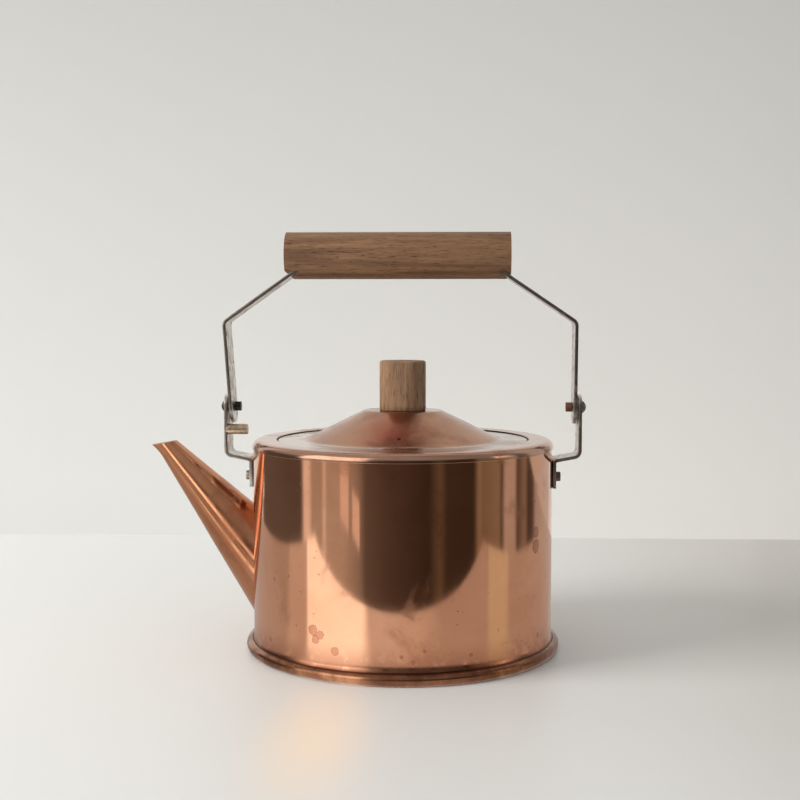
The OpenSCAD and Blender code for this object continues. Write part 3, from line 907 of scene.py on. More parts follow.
def bevelled_copy(node: bpy.types.Object, width: float, segments: int = 2, angle: float = 30.0
                  ) -> bpy.types.Mesh:
    """A copy of a frame node's mesh with its edges broken.

    Args:
        node: the frame's node.
        width: bevel width in millimetres.
        segments: bevel segments.
        angle: edges sharper than this many degrees are bevelled.

    Returns:
        The new mesh.
    """
    shape = bmesh.new()
    shape.from_mesh(node.data)
    bmesh.ops.remove_doubles(shape, verts=shape.verts, dist=0.002 * MM)
    bmesh.ops.dissolve_limit(shape, angle_limit=math.radians(0.4), verts=shape.verts, edges=shape.edges)
    mesh = bpy.data.meshes.new(node.name + "_finished")
    shape.to_mesh(mesh)
    shape.free()
    for name in ("custom_normal", "sharp_face", "sharp_edge"):
        if name in mesh.attributes:
            mesh.attributes.remove(mesh.attributes[name])
    holder = bpy.data.objects.new("bevel_holder", mesh)
    bpy.context.scene.collection.objects.link(holder)
    modifier = holder.modifiers.new("bevel", "BEVEL")
    modifier.width, modifier.segments = width * MM, segments
    modifier.limit_method, modifier.angle_limit = "ANGLE", math.radians(angle)
    result = bpy.data.meshes.new_from_object(holder.evaluated_get(bpy.context.evaluated_depsgraph_get()))
    bpy.data.objects.remove(holder)
    return result


def points_mesh(name: str, places: Iterable[Vector]) -> bpy.types.Mesh:
    """A mesh of loose points."""
    mesh = bpy.data.meshes.new(name)
    mesh.from_pydata([tuple(place) for place in places], [], [])
    return mesh


def centre(node: str) -> Vector:
    """The middle of a frame node's box."""
    low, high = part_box(node)
    return (Vector(low) + Vector(high)) / 2


def settle(name: str, mesh: bpy.types.Mesh, body: Body, replaced: Sequence[str],
           materials: Sequence[bpy.types.Material] = ()) -> bpy.types.Object:
    """Puts a finished piece into the scene on its body.

    Args:
        name: the piece's name.
        mesh: its mesh, in place.
        body: the body that it moves with.
        replaced: the frame nodes that it stands for.
        materials: its materials, or none if the mesh already has them.

    Returns:
        The piece's object.
    """
    if not mesh.polygons:
        raise ValueError(f"the piece {name} has no faces")
    if materials:
        mesh.materials.clear()
        for material in materials:
            mesh.materials.append(material)
    piece = bpy.data.objects.new(name, mesh)
    bpy.context.scene.collection.objects.link(piece)
    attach(piece, body.value)
    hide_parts(*replaced)
    LOG.info("%s: %d faces on %s", name, len(mesh.polygons), body.value)
    return piece


# ---------------------------------------------------------------------------------------------
# Sub-assemblies
# ---------------------------------------------------------------------------------------------


@dataclass
class Vessel:
    """The wall, the shoulder cap, the base with its rolled rim, and the spout. Sizes in millimetres."""

    lathe: Lathe
    wall_r: float = 90.0
    sheet: float = 1.0
    flare_h: float = 4.6
    flare_out: float = 0.9
    rim_r: float = 3.5
    rim_gap: float = 0.2
    cap_sheet: float = 0.8
    cap_round: float = 4.5
    cap_out: float = 0.6
    cap_depth: float = 11.6
    opening_r: float = 75.8
    seat_r: float = 68.8
    seat_depth: float = 1.65
    neck_depth: float = 4.0
    spout_taper: float = 9.9
    spout_root_r: float = 21.05
    spout_foot_up: float = 5.2
    spout_reach: float = 63.7
    spout_tip_down: float = 5.9
    mouth_slope: float = 12.2
    spout_turn: float = 4.0
    lip_curl: float = 2.0
    drops: tuple[Drop, ...] = (
        Drop(-31, 27, 3.1), Drop(-28, 25, 2.6), Drop(-30, 22, 2.4), Drop(-22, 17, 2.5), Drop(2, 16, 1.0),
        Drop(6, 13, 1.3), Drop(10, 19, 0.9), Drop(27, 15, 1.2), Drop(62, 17, 1.8), Drop(69, 10, 2.2),
        Drop(60, 77, 3.4), Drop(60, 69, 4.2), Drop(-55, 15, 1.3),
    )
    copper: bpy.types.Material = field(init=False)
    tin: bpy.types.Material = field(init=False)

    def dress(self) -> None:
        """Makes the vessel's finishes."""
        # with the darker foot and the painted crevice shade above the rim
        self.copper = CopperFinish("vessel copper", dark_foot_and_crevice_shade=True, drops=self.drops,
                                   wall_radius=self.wall_r).material()
        self.tin = TinFinish("tinned inside").material()

    def _line_inside(self, mesh: bpy.types.Mesh, limit: float) -> None:
        """Gives the tinned finish to the faces that look at the axis from within the limit radius."""
        for face in mesh.polygons:
            middle = Vector((face.center.x, face.center.y, 0.0))
            if middle.length < limit * MM and face.normal.dot(middle) < 0:
                face.material_index = 1

    def wall(self) -> bpy.types.Object:
        """The wall with its flared foot and the hole behind the spout."""
        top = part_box("body_wall")[1][2] / MM
        foot = self.sheet
        flare_top = 2 * self.rim_r + self.flare_h
        bend = (self.flare_h ** 2 + self.flare_out ** 2) / (2 * self.flare_out)
        flare = [(self.wall_r + bend - math.sqrt(bend ** 2 - (self.flare_h * k / 10) ** 2),
                  flare_top - self.flare_h * k / 10) for k in range(11)]
        outer = [(self.wall_r, top)] + flare + [(self.wall_r + self.flare_out, foot)]
        inner = [(r - self.sheet, z) for r, z in reversed(outer)]
        mesh = self.lathe.turn("wall", spread(outer + inner, 2.5), True, self.copper)
        wobble(mesh, 0.055, 46.0, self._away_from_joints, 3.0)
        mesh = cut(mesh, self._cone_solid("spout_bore"))
        mesh.materials.clear()
        mesh.materials.append(self.copper)
        mesh.materials.append(self.tin)
        for face in mesh.polygons:
            face.material_index = 0
        self._line_inside(mesh, self.wall_r - self.sheet / 2 + self.flare_out)
        return settle("wall", soften(mesh), Body.VESSEL, ["body_wall"])

    def _away_from_joints(self, place: Vector) -> float:
        """Weight that leaves the wall true under the cap, at the foot, and at the tabs and spout."""
        height = place.z / MM
        weight = min(1.0, max(0.0, (112.0 - height) / 12.0), max(0.0, (height - 12.0) / 10.0))
        near_side = max(0.0, 1.0 - abs(place.y / MM) / 34.0)
        return weight * (1.0 - min(1.0, near_side * 2.0))

    def cap(self) -> bpy.types.Object:
        """The shoulder cap with its rounded edge, recessed ledge and neck."""
        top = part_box("shoulder_cap")[1][2] / MM
        t, seat, skirt = self.cap_sheet, top - self.seat_depth, top - self.cap_depth
        outer_r, skirt_r = self.wall_r + self.cap_out, self.wall_r - self.sheet
        lip = top - self.cap_round - t
        corners = [(outer_r, lip), (outer_r, top), (self.opening_r, top), (self.opening_r, seat),
                   (self.seat_r, seat), (self.seat_r, seat - self.neck_depth),
                   (self.seat_r + t, seat - self.neck_depth), (self.seat_r + t, seat - t),
                   (self.opening_r + t, seat - t), (self.opening_r + t, top - t),
                   (outer_r - t, top - t), (outer_r - t, lip + t), (skirt_r - t, lip + t),
                   (skirt_r - t, skirt), (skirt_r, skirt), (skirt_r, lip)]
        radii = [0.25, self.cap_round, 0.5, 0.4, 1.0, 0.2, 0.2, 0.4, 0.5, 0.2, 3.2, 0.0, 0.0, 0.2, 0.2, 0.0]
        mesh = self.lathe.turn("shoulder", spread(rounded(corners, radii, 10), 4.0), True, self.copper)
        # Painted shade: a near-black band over the ledge and neck, where the gap round the lid lies in shadow.
        painted_gap_shade = PaintedBand(self.seat_r, self.opening_r + 0.3, 0.5, rgb(0.018, 0.009, 0.006), 0.96)
        finish = CopperFinish("shoulder copper", bright=rgb(0.58, 0.355, 0.26), deep=rgb(0.40, 0.215, 0.15),
                              patina_cover=0.30, roughness=0.12, brush_axis=(1.0, 1.0, 0.2),
                              painted_bands=(painted_gap_shade,))
        return settle("shoulder", soften(mesh), Body.VESSEL, ["shoulder_cap"],
                      [finish.material()])

    def base(self) -> bpy.types.Object:
        """The base disc running into the rolled foot rim."""
        end = 88.0
        middle = (self.wall_r + self.flare_out + self.rim_gap - self.rim_r * math.cos(math.radians(end)),
                  self.rim_r)
        outer = arc(middle, self.rim_r, -90.0, end, 24)
        inner = arc(middle, self.rim_r - self.sheet, end, -90.0, 20)
        floor = spread([(0.0, 0.0), outer[0]], 6.0, closed=False)
        inside = spread([inner[-1], (0.0, self.sheet)], 6.0, closed=False)
        mesh = self.lathe.turn("base", floor[:-1] + outer + inner + inside[1:], False, self.copper)
        finish = CopperFinish("foot copper", bright=rgb(0.40, 0.19, 0.11), deep=rgb(0.22, 0.088, 0.048),
                              patina=rgb(0.13, 0.045, 0.024), patina_cover=0.5, patina_strength=0.7,
                              speck_cover=0.3, roughness=0.13, dent=0.00030)
        material = finish.material()
        mesh.materials.clear()
        mesh.materials.append(material)
        mesh.materials.append(self.tin)
        for face in mesh.polygons:
            inside_face = face.center.z > 0.5 * MM and face.normal.z > 0.9
            middle_r = math.hypot(face.center.x, face.center.y)
            face.material_index = int(inside_face and middle_r < (self.wall_r - self.sheet) * MM)
        return settle("base", soften(mesh, 50.0), Body.VESSEL, ["base_pan"])

    @cached_property
    def _lower_edge(self) -> tuple[Vector, Vector]:
        """The spout's tip and the foot of its lower edge on the wall, before the spout's turn."""
        tip = Vector((-self.wall_r - self.spout_reach, 0.0,
                      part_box("shoulder_cap")[1][2] / MM - self.spout_tip_down))
        foot = Vector((-self.wall_r, 0.0, 2 * self.rim_r + self.flare_h + self.spout_foot_up))
        return tip, foot

    @cached_property
    def _cone_frame(self) -> tuple[Vector, Vector, Vector, Vector]:
        """The spout cone's apex, its axis towards the body, and two directions across it."""
        taper = math.radians(self.spout_taper)
        tip, foot = self._lower_edge
        slope = math.atan2(tip.z - foot.z, foot.x - tip.x) - taper
        length = self.spout_root_r / math.tan(taper)
        run = length * math.cos(slope)
        apex = foot + Vector((-run, 0.0, run * math.tan(slope + taper)))
        axis = Vector((math.cos(slope), 0.0, -math.sin(slope)))
        up = Vector((math.sin(slope), 0.0, math.cos(slope)))
        turn = Matrix.Rotation(math.radians(-self.spout_turn), 3, "Z")
        return turn @ apex, turn @ axis, turn @ up, turn @ Vector((0.0, 1.0, 0.0))

    def _cone_solid(self, name: str) -> bpy.types.Mesh:
        """A solid cone along the spout's bore, which cuts the hole in the wall."""
        apex, axis, up, side = self._cone_frame
        taper = math.radians(self.spout_taper)
        back = self.sheet / math.sin(taper)
        rings, count = (20.0, 210.0), 96
        shape = bmesh.new()
        loops = []
        for far in rings:
            middle, radius = apex + axis * (far + back), far * math.tan(taper)
            loops.append([shape.verts.new((middle + (up * math.cos(a) + side * math.sin(a)) * radius) * MM)
                          for a in (math.tau * k / count for k in range(count))])
        for k in range(count):
            shape.faces.new((loops[0][k], loops[0][(k + 1) % count], loops[1][(k + 1) % count], loops[1][k]))
        shape.faces.new(loops[0])
        shape.faces.new(list(reversed(loops[1])))
        mesh = bpy.data.meshes.new(name)
        shape.to_mesh(mesh)
        shape.free()
        return outward(mesh)

    def _ruling(self, angle: float, back: float) -> tuple[Vector, Vector, float, float]:
        """One straight line of the spout's cone.

        Args:
            angle: place round the cone, 0 at its upper side.
            back: how far the line's apex is moved down the axis, 0 for the outer face.

        Returns:
            Its start point, its direction, and its lengths to the mouth and to the wall.
        """
        apex, axis, up, side = self._cone_frame
        taper = math.radians(self.spout_taper)
        start = apex + axis * back
        way = axis * math.cos(taper) + (up * math.cos(angle) + side * math.sin(angle)) * math.sin(taper)
        turn = Matrix.Rotation(math.radians(-self.spout_turn), 3, "Z")
        tip = turn @ self._lower_edge[0]
        tilt = math.radians(self.mouth_slope)
        normal = turn @ Vector((-math.sin(tilt), 0.0, math.cos(tilt)))
        mouth = (tip - start).dot(normal) / way.dot(normal)
        reach = self.wall_r - 0.35
        a = way.x ** 2 + way.y ** 2
        b = 2 * (start.x * way.x + start.y * way.y)
        c = start.x ** 2 + start.y ** 2 - reach ** 2
        root = (-b - math.sqrt(b * b - 4 * a * c)) / (2 * a)
        return start, way, mouth, root

    def spout(self) -> bpy.types.Object:
        """The spout: a straight cone with a slightly curled lip, shaped to the wall at its root."""
        around, along = 128, 56
        shape = bmesh.new()
        rings: list[list[bmesh.types.BMVert]] = []
        bore = self.sheet / math.sin(math.radians(self.spout_taper))
        rows = [(0.0, k / along) for k in range(along, -1, -1)]
        rows += [(bore * 0.5, -1.0)]
        rows += [(bore, k / along) for k in range(along + 1)]
        for back, share in rows:
            ring = []
            for k in range(around):
                angle = math.tau * k / around
                start, way, mouth, root = self._ruling(angle, back)
                lip = share < 0
                far = mouth - 0.22 if lip else mouth + (root - mouth) * share ** 1.35
                place = start + way * far
                low_side = max(0.0, -math.cos(angle)) ** 3
                nearness = max(0.0, 1.0 - (far - mouth) / 9.0) ** 2
                curl = self.lip_curl * low_side * nearness
                place += self._outwards(angle) * curl - way * (0.6 * curl)
                soft = noise.noise(place / 26.0) * 0.12 * min(1.0, max(0.0, (root - far) / 12.0))
                place += self._outwards(angle) * soft
                ring.append(shape.verts.new(place * MM))
            rings.append(ring)
        rings.append(rings[0])
        for first, second in zip(rings, rings[1:]):
            for k in range(around):
                shape.faces.new((first[k], first[(k + 1) % around], second[(k + 1) % around], second[k]))
        mesh = bpy.data.meshes.new("spout")
        shape.to_mesh(mesh)
        shape.free()
        outward(mesh)
        finish = CopperFinish("spout copper", bright=rgb(0.66, 0.31, 0.175), deep=rgb(0.40, 0.155, 0.075),
                              patina_cover=0.32, roughness=0.075, brush_axis=(0.06, 1.0, 0.05), dent=0.00012)
        mesh.materials.append(finish.material())
        mesh.materials.append(self.tin)
        _, axis, _, _ = self._cone_frame
        apex = self._cone_frame[0] * MM
        for face in mesh.polygons:
            from_axis = (face.center - apex) - axis * (face.center - apex).dot(axis)
            face.material_index = int(face.normal.dot(from_axis) < 0)
        return settle("spout", soften(mesh, 50.0), Body.VESSEL, ["spout"])

    def _outwards(self, angle: float) -> Vector:
        """The direction out of the spout's surface at an angle round it."""
        _, axis, up, side = self._cone_frame
        taper = math.radians(self.spout_taper)
        return (up * math.cos(angle) + side * math.sin(angle)) * math.cos(taper) - axis * math.sin(taper)

    def build(self) -> None:
        """Builds every piece of the vessel."""
        self.dress()
        self.wall()
        self.cap()
        self.base()
        self.spout()


@dataclass
class Hardware:
    """Brackets, stop peg, bolts, screws, nuts and washers. Sizes in millimetres."""

    nodes: dict[str, bpy.types.Object]
    rings: Rings
    nuts: Nuts
    bar_edge: float = 0.28
    head_edge: float = 0.35
    bolt_r: float = 1.5
    nut_flats: float = 5.5

    def brackets(self) -> None:
        """The two bent flat-bar brackets."""
        # Both brackets get the painted dark reflection on their front and back edges, the left one less of it.
        finishes = {Side.LEFT: SteelFinish("left bracket steel", rust_cover=0.12, painted_edge_shade=0.25),
                    Side.RIGHT: SteelFinish("right bracket steel", rust_cover=0.30)}
        for side, finish in finishes.items():
            node = f"{side.value}_bracket"
            mesh = soften(bevelled_copy(self.nodes[node], self.bar_edge))
            settle(node + "_bar", mesh, Body.VESSEL, [node], [finish.material()])

    def peg(self) -> None:
        """The brass stop peg."""
        mesh = soften(bevelled_copy(self.nodes["stop_peg"], 0.4, 3))
        settle("peg", mesh, Body.VESSEL, ["stop_peg"],
               [BrassFinish("peg brass").material()])

    def bolts(self) -> None:
        """The domed pivot bolts and the tab screws."""
        dark = SteelFinish("dark steel", face=rgb(0.20, 0.17, 0.15), shade=rgb(0.09, 0.07, 0.06),
                           rust_cover=0.3, painted_edge_shade=0.0, roughness=0.38).material()
        bright = SteelFinish("bright steel", face=rgb(0.60, 0.58, 0.55), rust_cover=0.12,
                             painted_edge_shade=0.0).material()
        choice = {"left_pivot_bolt": (dark, Slot.BOLT_STEEL), "right_pivot_bolt": (dark, Slot.BOLT_STEEL),
                  "left_tab_screw": (bright, Slot.STRAP_STEEL), "right_tab_screw": (dark, Slot.BOLT_STEEL)}
        for node, (material, slot) in choice.items():
            mesh = soften(bevelled_copy(self.nodes[node], self.head_edge, 3))
            settle(node + "_head", mesh, Body.VESSEL, [node], [material])

    def _nut_set(self, name: str, nodes: Sequence[str], material: bpy.types.Material) -> None:
        """Nuts on the places of the named nodes, which share one thickness."""
        low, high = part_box(nodes[0])
        values = {"Flats": self.nut_flats * MM, "Thickness": high[0] - low[0],
                  "Bore Radius": self.bolt_r * MM, "Material": material}
        mesh = self.nuts.make(name, points_mesh(name + "_points", map(centre, nodes)), values)
        settle(name, soften(outward(mesh), 25.0), Body.VESSEL, nodes)

    def all_nuts(self) -> None:
        """The thin nut and lock nut of each pivot, and the nuts behind the tabs."""
        black = SteelFinish("black nut steel", face=rgb(0.10, 0.085, 0.075), shade=rgb(0.045, 0.036, 0.03),
                            rust_cover=0.12, painted_edge_shade=0.0, roughness=0.4).material()
        rusty = SteelFinish("rusty nut steel", face=rgb(0.22, 0.11, 0.075), shade=rgb(0.12, 0.055, 0.035),
                            rust_cover=0.7, painted_edge_shade=0.0, roughness=0.5).material()
        self._nut_set("left_nuts", ["left_pivot_nut", "left_lock_nut"], black)
        self._nut_set("right_nuts", ["right_pivot_nut", "right_lock_nut"], rusty)
        self._nut_set("inner_nuts", ["left_tab_nut", "right_tab_nut"], black)

    def washers(self) -> None:
        """The washers between bracket and strap, and those inside the wall."""
        steel = SteelFinish("washer steel", rust_cover=0.25, painted_edge_shade=0.0).material()
        for name, nodes in (("pivot_washers", ["left_pivot_washer", "right_pivot_washer"]),
                            ("tab_washers", ["left_tab_washer", "right_tab_washer"])):
            low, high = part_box(nodes[0])
            values = {"Outer Radius": (high[2] - low[2]) / 2, "Bore Radius": self.bolt_r * MM,
                      "Thickness": high[0] - low[0], "Turn": (0.0, math.radians(90), 0.0), "Material": steel}
            mesh = self.rings.make(name, points_mesh(name + "_points", map(centre, nodes)), values)
            settle(name, soften(outward(mesh)), Body.VESSEL, nodes)

    def build(self) -> None:
        """Builds all the hardware."""
        self.brackets()
        self.peg()
        self.bolts()
        self.all_nuts()
        self.washers()


@dataclass
class Bail:
    """The bent steel strap and its wooden grip. Sizes in millimetres."""

    nodes: dict[str, bpy.types.Object]
    strap_edge: float = 0.28
    grip_edge: float = 0.7

    def build(self) -> None:
        """Builds the strap and the grip."""
        strap = soften(bevelled_copy(self.nodes["bail_strap"], self.strap_edge))
        # The strap's front and back edges get the full painted dark reflection of the steel finish.
        finish = SteelFinish("strap steel", rust_cover=0.24)
        settle("strap", strap, Body.BAIL, ["bail_strap"], [finish.material()])
        grip = soften(bevelled_copy(self.nodes["grip"], self.grip_edge, 3))
        wood = WoodFinish("grip wood", light=rgb(0.31, 0.165, 0.083), dark=rgb(0.135, 0.064, 0.032),
                          pore=rgb(0.034, 0.017, 0.010))
        settle("grip_stick", grip, Body.BAIL, ["grip"], [wood.material()])


@dataclass
class Lid:
    """The lid with its cone, collar, knob and the knob's screw. Sizes in millimetres."""

    nodes: dict[str, bpy.types.Object]
    lathe: Lathe
    rings: Rings
    sheet: float = 1.0
    flange_r: float = 75.2
    cone_base_r: float = 59.2
    cone_top_r: float = 23.5
    screw_r: float = 2.0
    vent_r: float = 1.0
    vent_from_axis: float = 49.4
    knob_r: float = 13.95
    knob_round: float = 1.5

    def dome(self) -> None:
        """The sheet cone with its flange and steam hole."""
        low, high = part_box("lid_dome")
        top, flange = high[2] / MM, low[2] / MM + self.sheet
        t = self.sheet
        corners = [(self.screw_r, top), (self.cone_top_r, top), (self.cone_base_r, flange),
                   (self.flange_r, flange), (self.flange_r, flange - t), (self.cone_base_r, flange - t),
                   (self.cone_top_r, top - t), (self.screw_r, top - t)]
        radii = [0.0, 3.0, 9.0, 0.4, 0.4, 8.0, 2.2, 0.0]
        # Painted reflection: the flange is tinted greyish pink, as it mirrors the pale ceiling.
        painted_flange_reflection = PaintedBand(61.5, 76.0, 5.0, rgb(0.60, 0.50, 0.435), 0.85)
        # Painted shade: a near-black ring at the flange's outer edge, where the gap round the lid lies in
        # shadow.
        painted_flange_edge_shade = PaintedBand(self.flange_r - 0.25, 80.0, 0.4, rgb(0.03, 0.016, 0.011), 0.9)
        front_heat = Heat(-3.0, -44.0, 134.0, 30.0, rgb(0.30, 0.055, 0.028), 0.75)
        inner_heat = Heat(-2.0, -47.0, 131.0, 13.0, rgb(0.36, 0.08, 0.05), 0.6)
        finish = CopperFinish("lid copper", bright=rgb(0.48, 0.255, 0.155), deep=rgb(0.30, 0.135, 0.078),
                              patina=rgb(0.22, 0.075, 0.04), patina_cover=0.42, roughness=0.12,
                              brush_axis=(1.0, 1.0, 0.3), dent=0.00016,
                              painted_bands=(painted_flange_reflection, painted_flange_edge_shade), heats=(front_heat, inner_heat))
        copper, tin = finish.material(), TinFinish("tinned lid").material()
        mesh = self.lathe.turn("dome", spread(rounded(corners, radii, 8), 2.5), True, copper)
        mesh = cut(mesh, self._vent_pin())
        mesh.materials.clear()
        mesh.materials.append(copper)
        mesh.materials.append(tin)
        for face in mesh.polygons:
            face.material_index = int(face.normal.z < -0.3)
        settle("dome", soften(mesh), Body.LID, ["lid_dome"])

    def _vent_pin(self) -> bpy.types.Mesh:
        """The pin that cuts the steam hole."""
        shape = bmesh.new()
        place = Matrix.Translation((0.0, -self.vent_from_axis * MM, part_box("lid_dome")[0][2]))
        bmesh.ops.create_cone(shape, cap_ends=True, segments=32, radius1=self.vent_r * MM,
                              radius2=self.vent_r * MM, depth=0.06, matrix=place)
        mesh = bpy.data.meshes.new("vent_pin")
        shape.to_mesh(mesh)
        shape.free()
        return outward(mesh)

    def collar(self) -> None:
        """The locating collar under the flange."""
        low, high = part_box("lid_collar")
        outer, bottom, top = high[0] / MM, low[2] / MM, high[2] / MM
        corners = [(outer, bottom), (outer, top), (outer - self.sheet, top), (outer - self.sheet, bottom)]
        finish = CopperFinish("collar copper", patina_cover=0.35, roughness=0.22)
        mesh = self.lathe.turn("collar", spread(rounded(corners, [0.3, 0, 0, 0.3], 4), 3.0), True,
                               finish.material())
        settle("collar", soften(mesh), Body.LID, ["lid_collar"])

    def knob(self) -> None:
        """The turned wooden knob."""
        low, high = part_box("knob")
        bottom, top = low[2] / MM, high[2] / MM
        edge = arc((self.knob_r - self.knob_round, top - self.knob_round), self.knob_round, 0.0, 90.0, 8)
        side = spread([(self.knob_r - 0.5, bottom), (self.knob_r, bottom + 0.5), edge[0]], 3.0, closed=False)
        profile = [(0.0, bottom)] + side[:-1] + edge + [(0.0, top)]
        mesh = self.lathe.turn("knob_turned", profile, False, self._knob_wood(), 128)
        settle("knob_turned", soften(mesh, 50.0), Body.LID, ["knob"])

    @staticmethod
    def _knob_wood() -> bpy.types.Material:
        """The knob's dry, greyish wood."""
        return WoodFinish("knob wood", light=rgb(0.42, 0.25, 0.145), dark=rgb(0.185, 0.10, 0.056),
                          pore=rgb(0.045, 0.024, 0.014), upright=True, grain_scale=0.9,
                          roughness=0.66).material()

    def fastening(self) -> None:
        """The screw and washer under the lid."""
        steel = SteelFinish("knob screw steel", rust_cover=0.2, painted_edge_shade=0.0).material()
        screw = soften(bevelled_copy(self.nodes["knob_screw"], 0.25))
        settle("knob_fixing", screw, Body.LID, ["knob_screw"], [steel])
        low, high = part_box("knob_washer")
        values = {"Outer Radius": (high[0] - low[0]) / 2, "Bore Radius": self.screw_r * MM,
                  "Thickness": high[2] - low[2], "Turn": (0.0, 0.0, 0.0), "Material": steel}
        washer = self.rings.make("knob_ring", points_mesh("knob_ring_points", [centre("knob_washer")]), values)
        settle("knob_ring", soften(outward(washer)), Body.LID, ["knob_washer"])

    def build(self) -> None:
        """Builds every piece of the lid."""
        self.dome()
        self.collar()
        self.knob()
        self.fastening()


# ---------------------------------------------------------------------------------------------
# Table, light and camera
# ---------------------------------------------------------------------------------------------


@dataclass
class Studio:
    """The table, the wall, what the copper mirrors, the lights and the camera. Sizes in metres."""

    wall_y: float = 0.375
    table_left: float = -0.47
    table_right: float = 0.44
    table_front: float = -0.262
    key_watts: float = 26.0
    ambient: float = 0.57
    table_glow: tuple[tuple[float, Colour, float, float], ...] = (
        (-90.0, rgb(1.0, 0.92, 0.84), 0.66, 0.0),
        (-33.5, rgb(1.0, 1.0, 0.94), 1.50, 0.005),
        (-10.5, rgb(1.0, 0.93, 0.86), 0.74, 0.012),
        (12.0, rgb(1.0, 0.90, 0.82), 0.52, 0.035),
        (34.0, rgb(1.0, 0.98, 0.76), 0.66, 0.008),
        (43.0, rgb(1.0, 0.90, 0.82), 0.50, 0.012),
    )
    room_profile: tuple[tuple[float, Colour], ...] = (
        (-180.0, rgb(0.80, 0.78, 0.74)), (-142.0, rgb(0.90, 0.88, 0.84)), (-134.0, rgb(1.10, 1.05, 0.98)),
        (-128.0, rgb(0.14, 0.12, 0.105)), (-79.0, rgb(0.115, 0.105, 0.095)), (-76.0, rgb(0.95, 0.92, 0.88)),
        (-71.5, rgb(0.90, 0.86, 0.80)), (-69.0, rgb(0.48, 0.44, 0.40)), (-60.0, rgb(0.46, 0.42, 0.38)),
        (-58.0, rgb(0.90, 0.86, 0.80)), (-56.0, rgb(0.50, 0.46, 0.42)), (-44.0, rgb(0.50, 0.45, 0.40)),
        (-30.0, rgb(0.30, 0.27, 0.24)), (-25.0, rgb(0.13, 0.11, 0.095)), (-8.0, rgb(0.085, 0.068, 0.055)),
        (22.0, rgb(0.045, 0.034, 0.027)), (30.0, rgb(0.14, 0.12, 0.08)), (35.0, rgb(0.055, 0.042, 0.032)),
        (57.0, rgb(0.045, 0.034, 0.027)), (61.0, rgb(0.30, 0.25, 0.19)), (64.0, rgb(0.20, 0.17, 0.12)),
        (79.0, rgb(0.26, 0.22, 0.17)), (82.0, rgb(0.07, 0.055, 0.045)), (85.0, rgb(0.48, 0.45, 0.42)),
        (95.0, rgb(0.46, 0.43, 0.40)), (98.0, rgb(0.10, 0.08, 0.065)), (107.0, rgb(0.26, 0.22, 0.18)),
        (112.0, rgb(0.07, 0.055, 0.045)), (118.0, rgb(0.10, 0.09, 0.08)), (123.0, rgb(0.42, 0.40, 0.38)),
        (180.0, rgb(0.60, 0.58, 0.55)),
    )
    camera_place: tuple[float, float, float] = (0.0319, -0.7676, 0.2011)
    camera_turn: tuple[float, float, float] = (86.15, 0.0, 2.5)
    focal: float = 57.33

    def _sheet(self, name: str, corners: Sequence[Sequence[float]], material: bpy.types.Material,
               camera: bool, glossy: bool, diffuse: bool = True, shadow: bool = True) -> bpy.types.Object:
        """A flat stage piece that only some kinds of rays see."""
        mesh = bpy.data.meshes.new(name)
        mesh.from_pydata([tuple(corner) for corner in corners], [], [tuple(range(len(corners)))])
        mesh.materials.append(material)
        piece = bpy.data.objects.new(name, mesh)
        bpy.context.scene.collection.objects.link(piece)
        piece.visible_camera, piece.visible_glossy = camera, glossy
        piece.visible_diffuse, piece.visible_shadow = diffuse, shadow
        piece.visible_transmission = piece.visible_volume_scatter = False
        return piece

    @staticmethod
    def _rectangle(x0: float, x1: float, y0: float, y1: float, z: float) -> list[tuple[float, float, float]]:
        """Corners of a level rectangle that faces up."""
        return [(x0, y0, z), (x1, y0, z), (x1, y1, z), (x0, y1, z)]

    def _table_paint(self) -> bpy.types.Material:
        """Pale painted board, with painted shadow darkening its right side and a painted warm glow in front of
        the copper, where the copper throws light onto it.
        """
        material, graph, shader = new_material("table paint")
        place = graph.add("ShaderNodeTexCoord").outputs["Object"]
        # Painted light: a faint warm glow on the board in front of the kettle, standing in for light that the
        # copper throws onto it.
        away = graph.measure("DISTANCE", graph.stretch(place, (1.0, 0.30, 1.0)), (-0.036, -0.052, 0.0))
        near = graph.remap(away, 0.040, 0.0)
        # Painted shadow: the board darkens towards the right, standing in for the kettle's soft shadow.
        shadow_to_right = graph.remap(graph.add("ShaderNodeSeparateXYZ", {0: place}).outputs[0], 0.05, 0.32)
        board = graph.blend(shadow_to_right, rgb(0.80, 0.80, 0.785), rgb(0.66, 0.64, 0.61))
        colour = graph.blend(graph.math("MULTIPLY", near, 0.85), board, rgb(1.0, 0.84, 0.68))
        graph.feed(shader.inputs["Base Color"], colour)
        shader.inputs["Roughness"].default_value = 0.42
        shader.inputs["Specular IOR Level"].default_value = 0.35
        return material

    def _mirror_line(self, azimuth: float) -> tuple[Vector, float]:
        """The line on the table that one upright line of the wall mirrors.

        Args:
            azimuth: the wall line's place in degrees, 0 in front and growing towards +X.

        Returns:
            A unit vector across the line, pointing to +azimuth, and the line's offset along it.
        """
        angle = math.radians(azimuth)
        normal = Vector((math.sin(angle), -math.cos(angle)))
        start = normal * 0.09
        ray = (start - Vector(self.camera_place[:2])).normalized()
        mirrored = ray - normal * (2 * ray.dot(normal))
        across = Vector((-mirrored.y, mirrored.x))
        return across, across.dot(start)

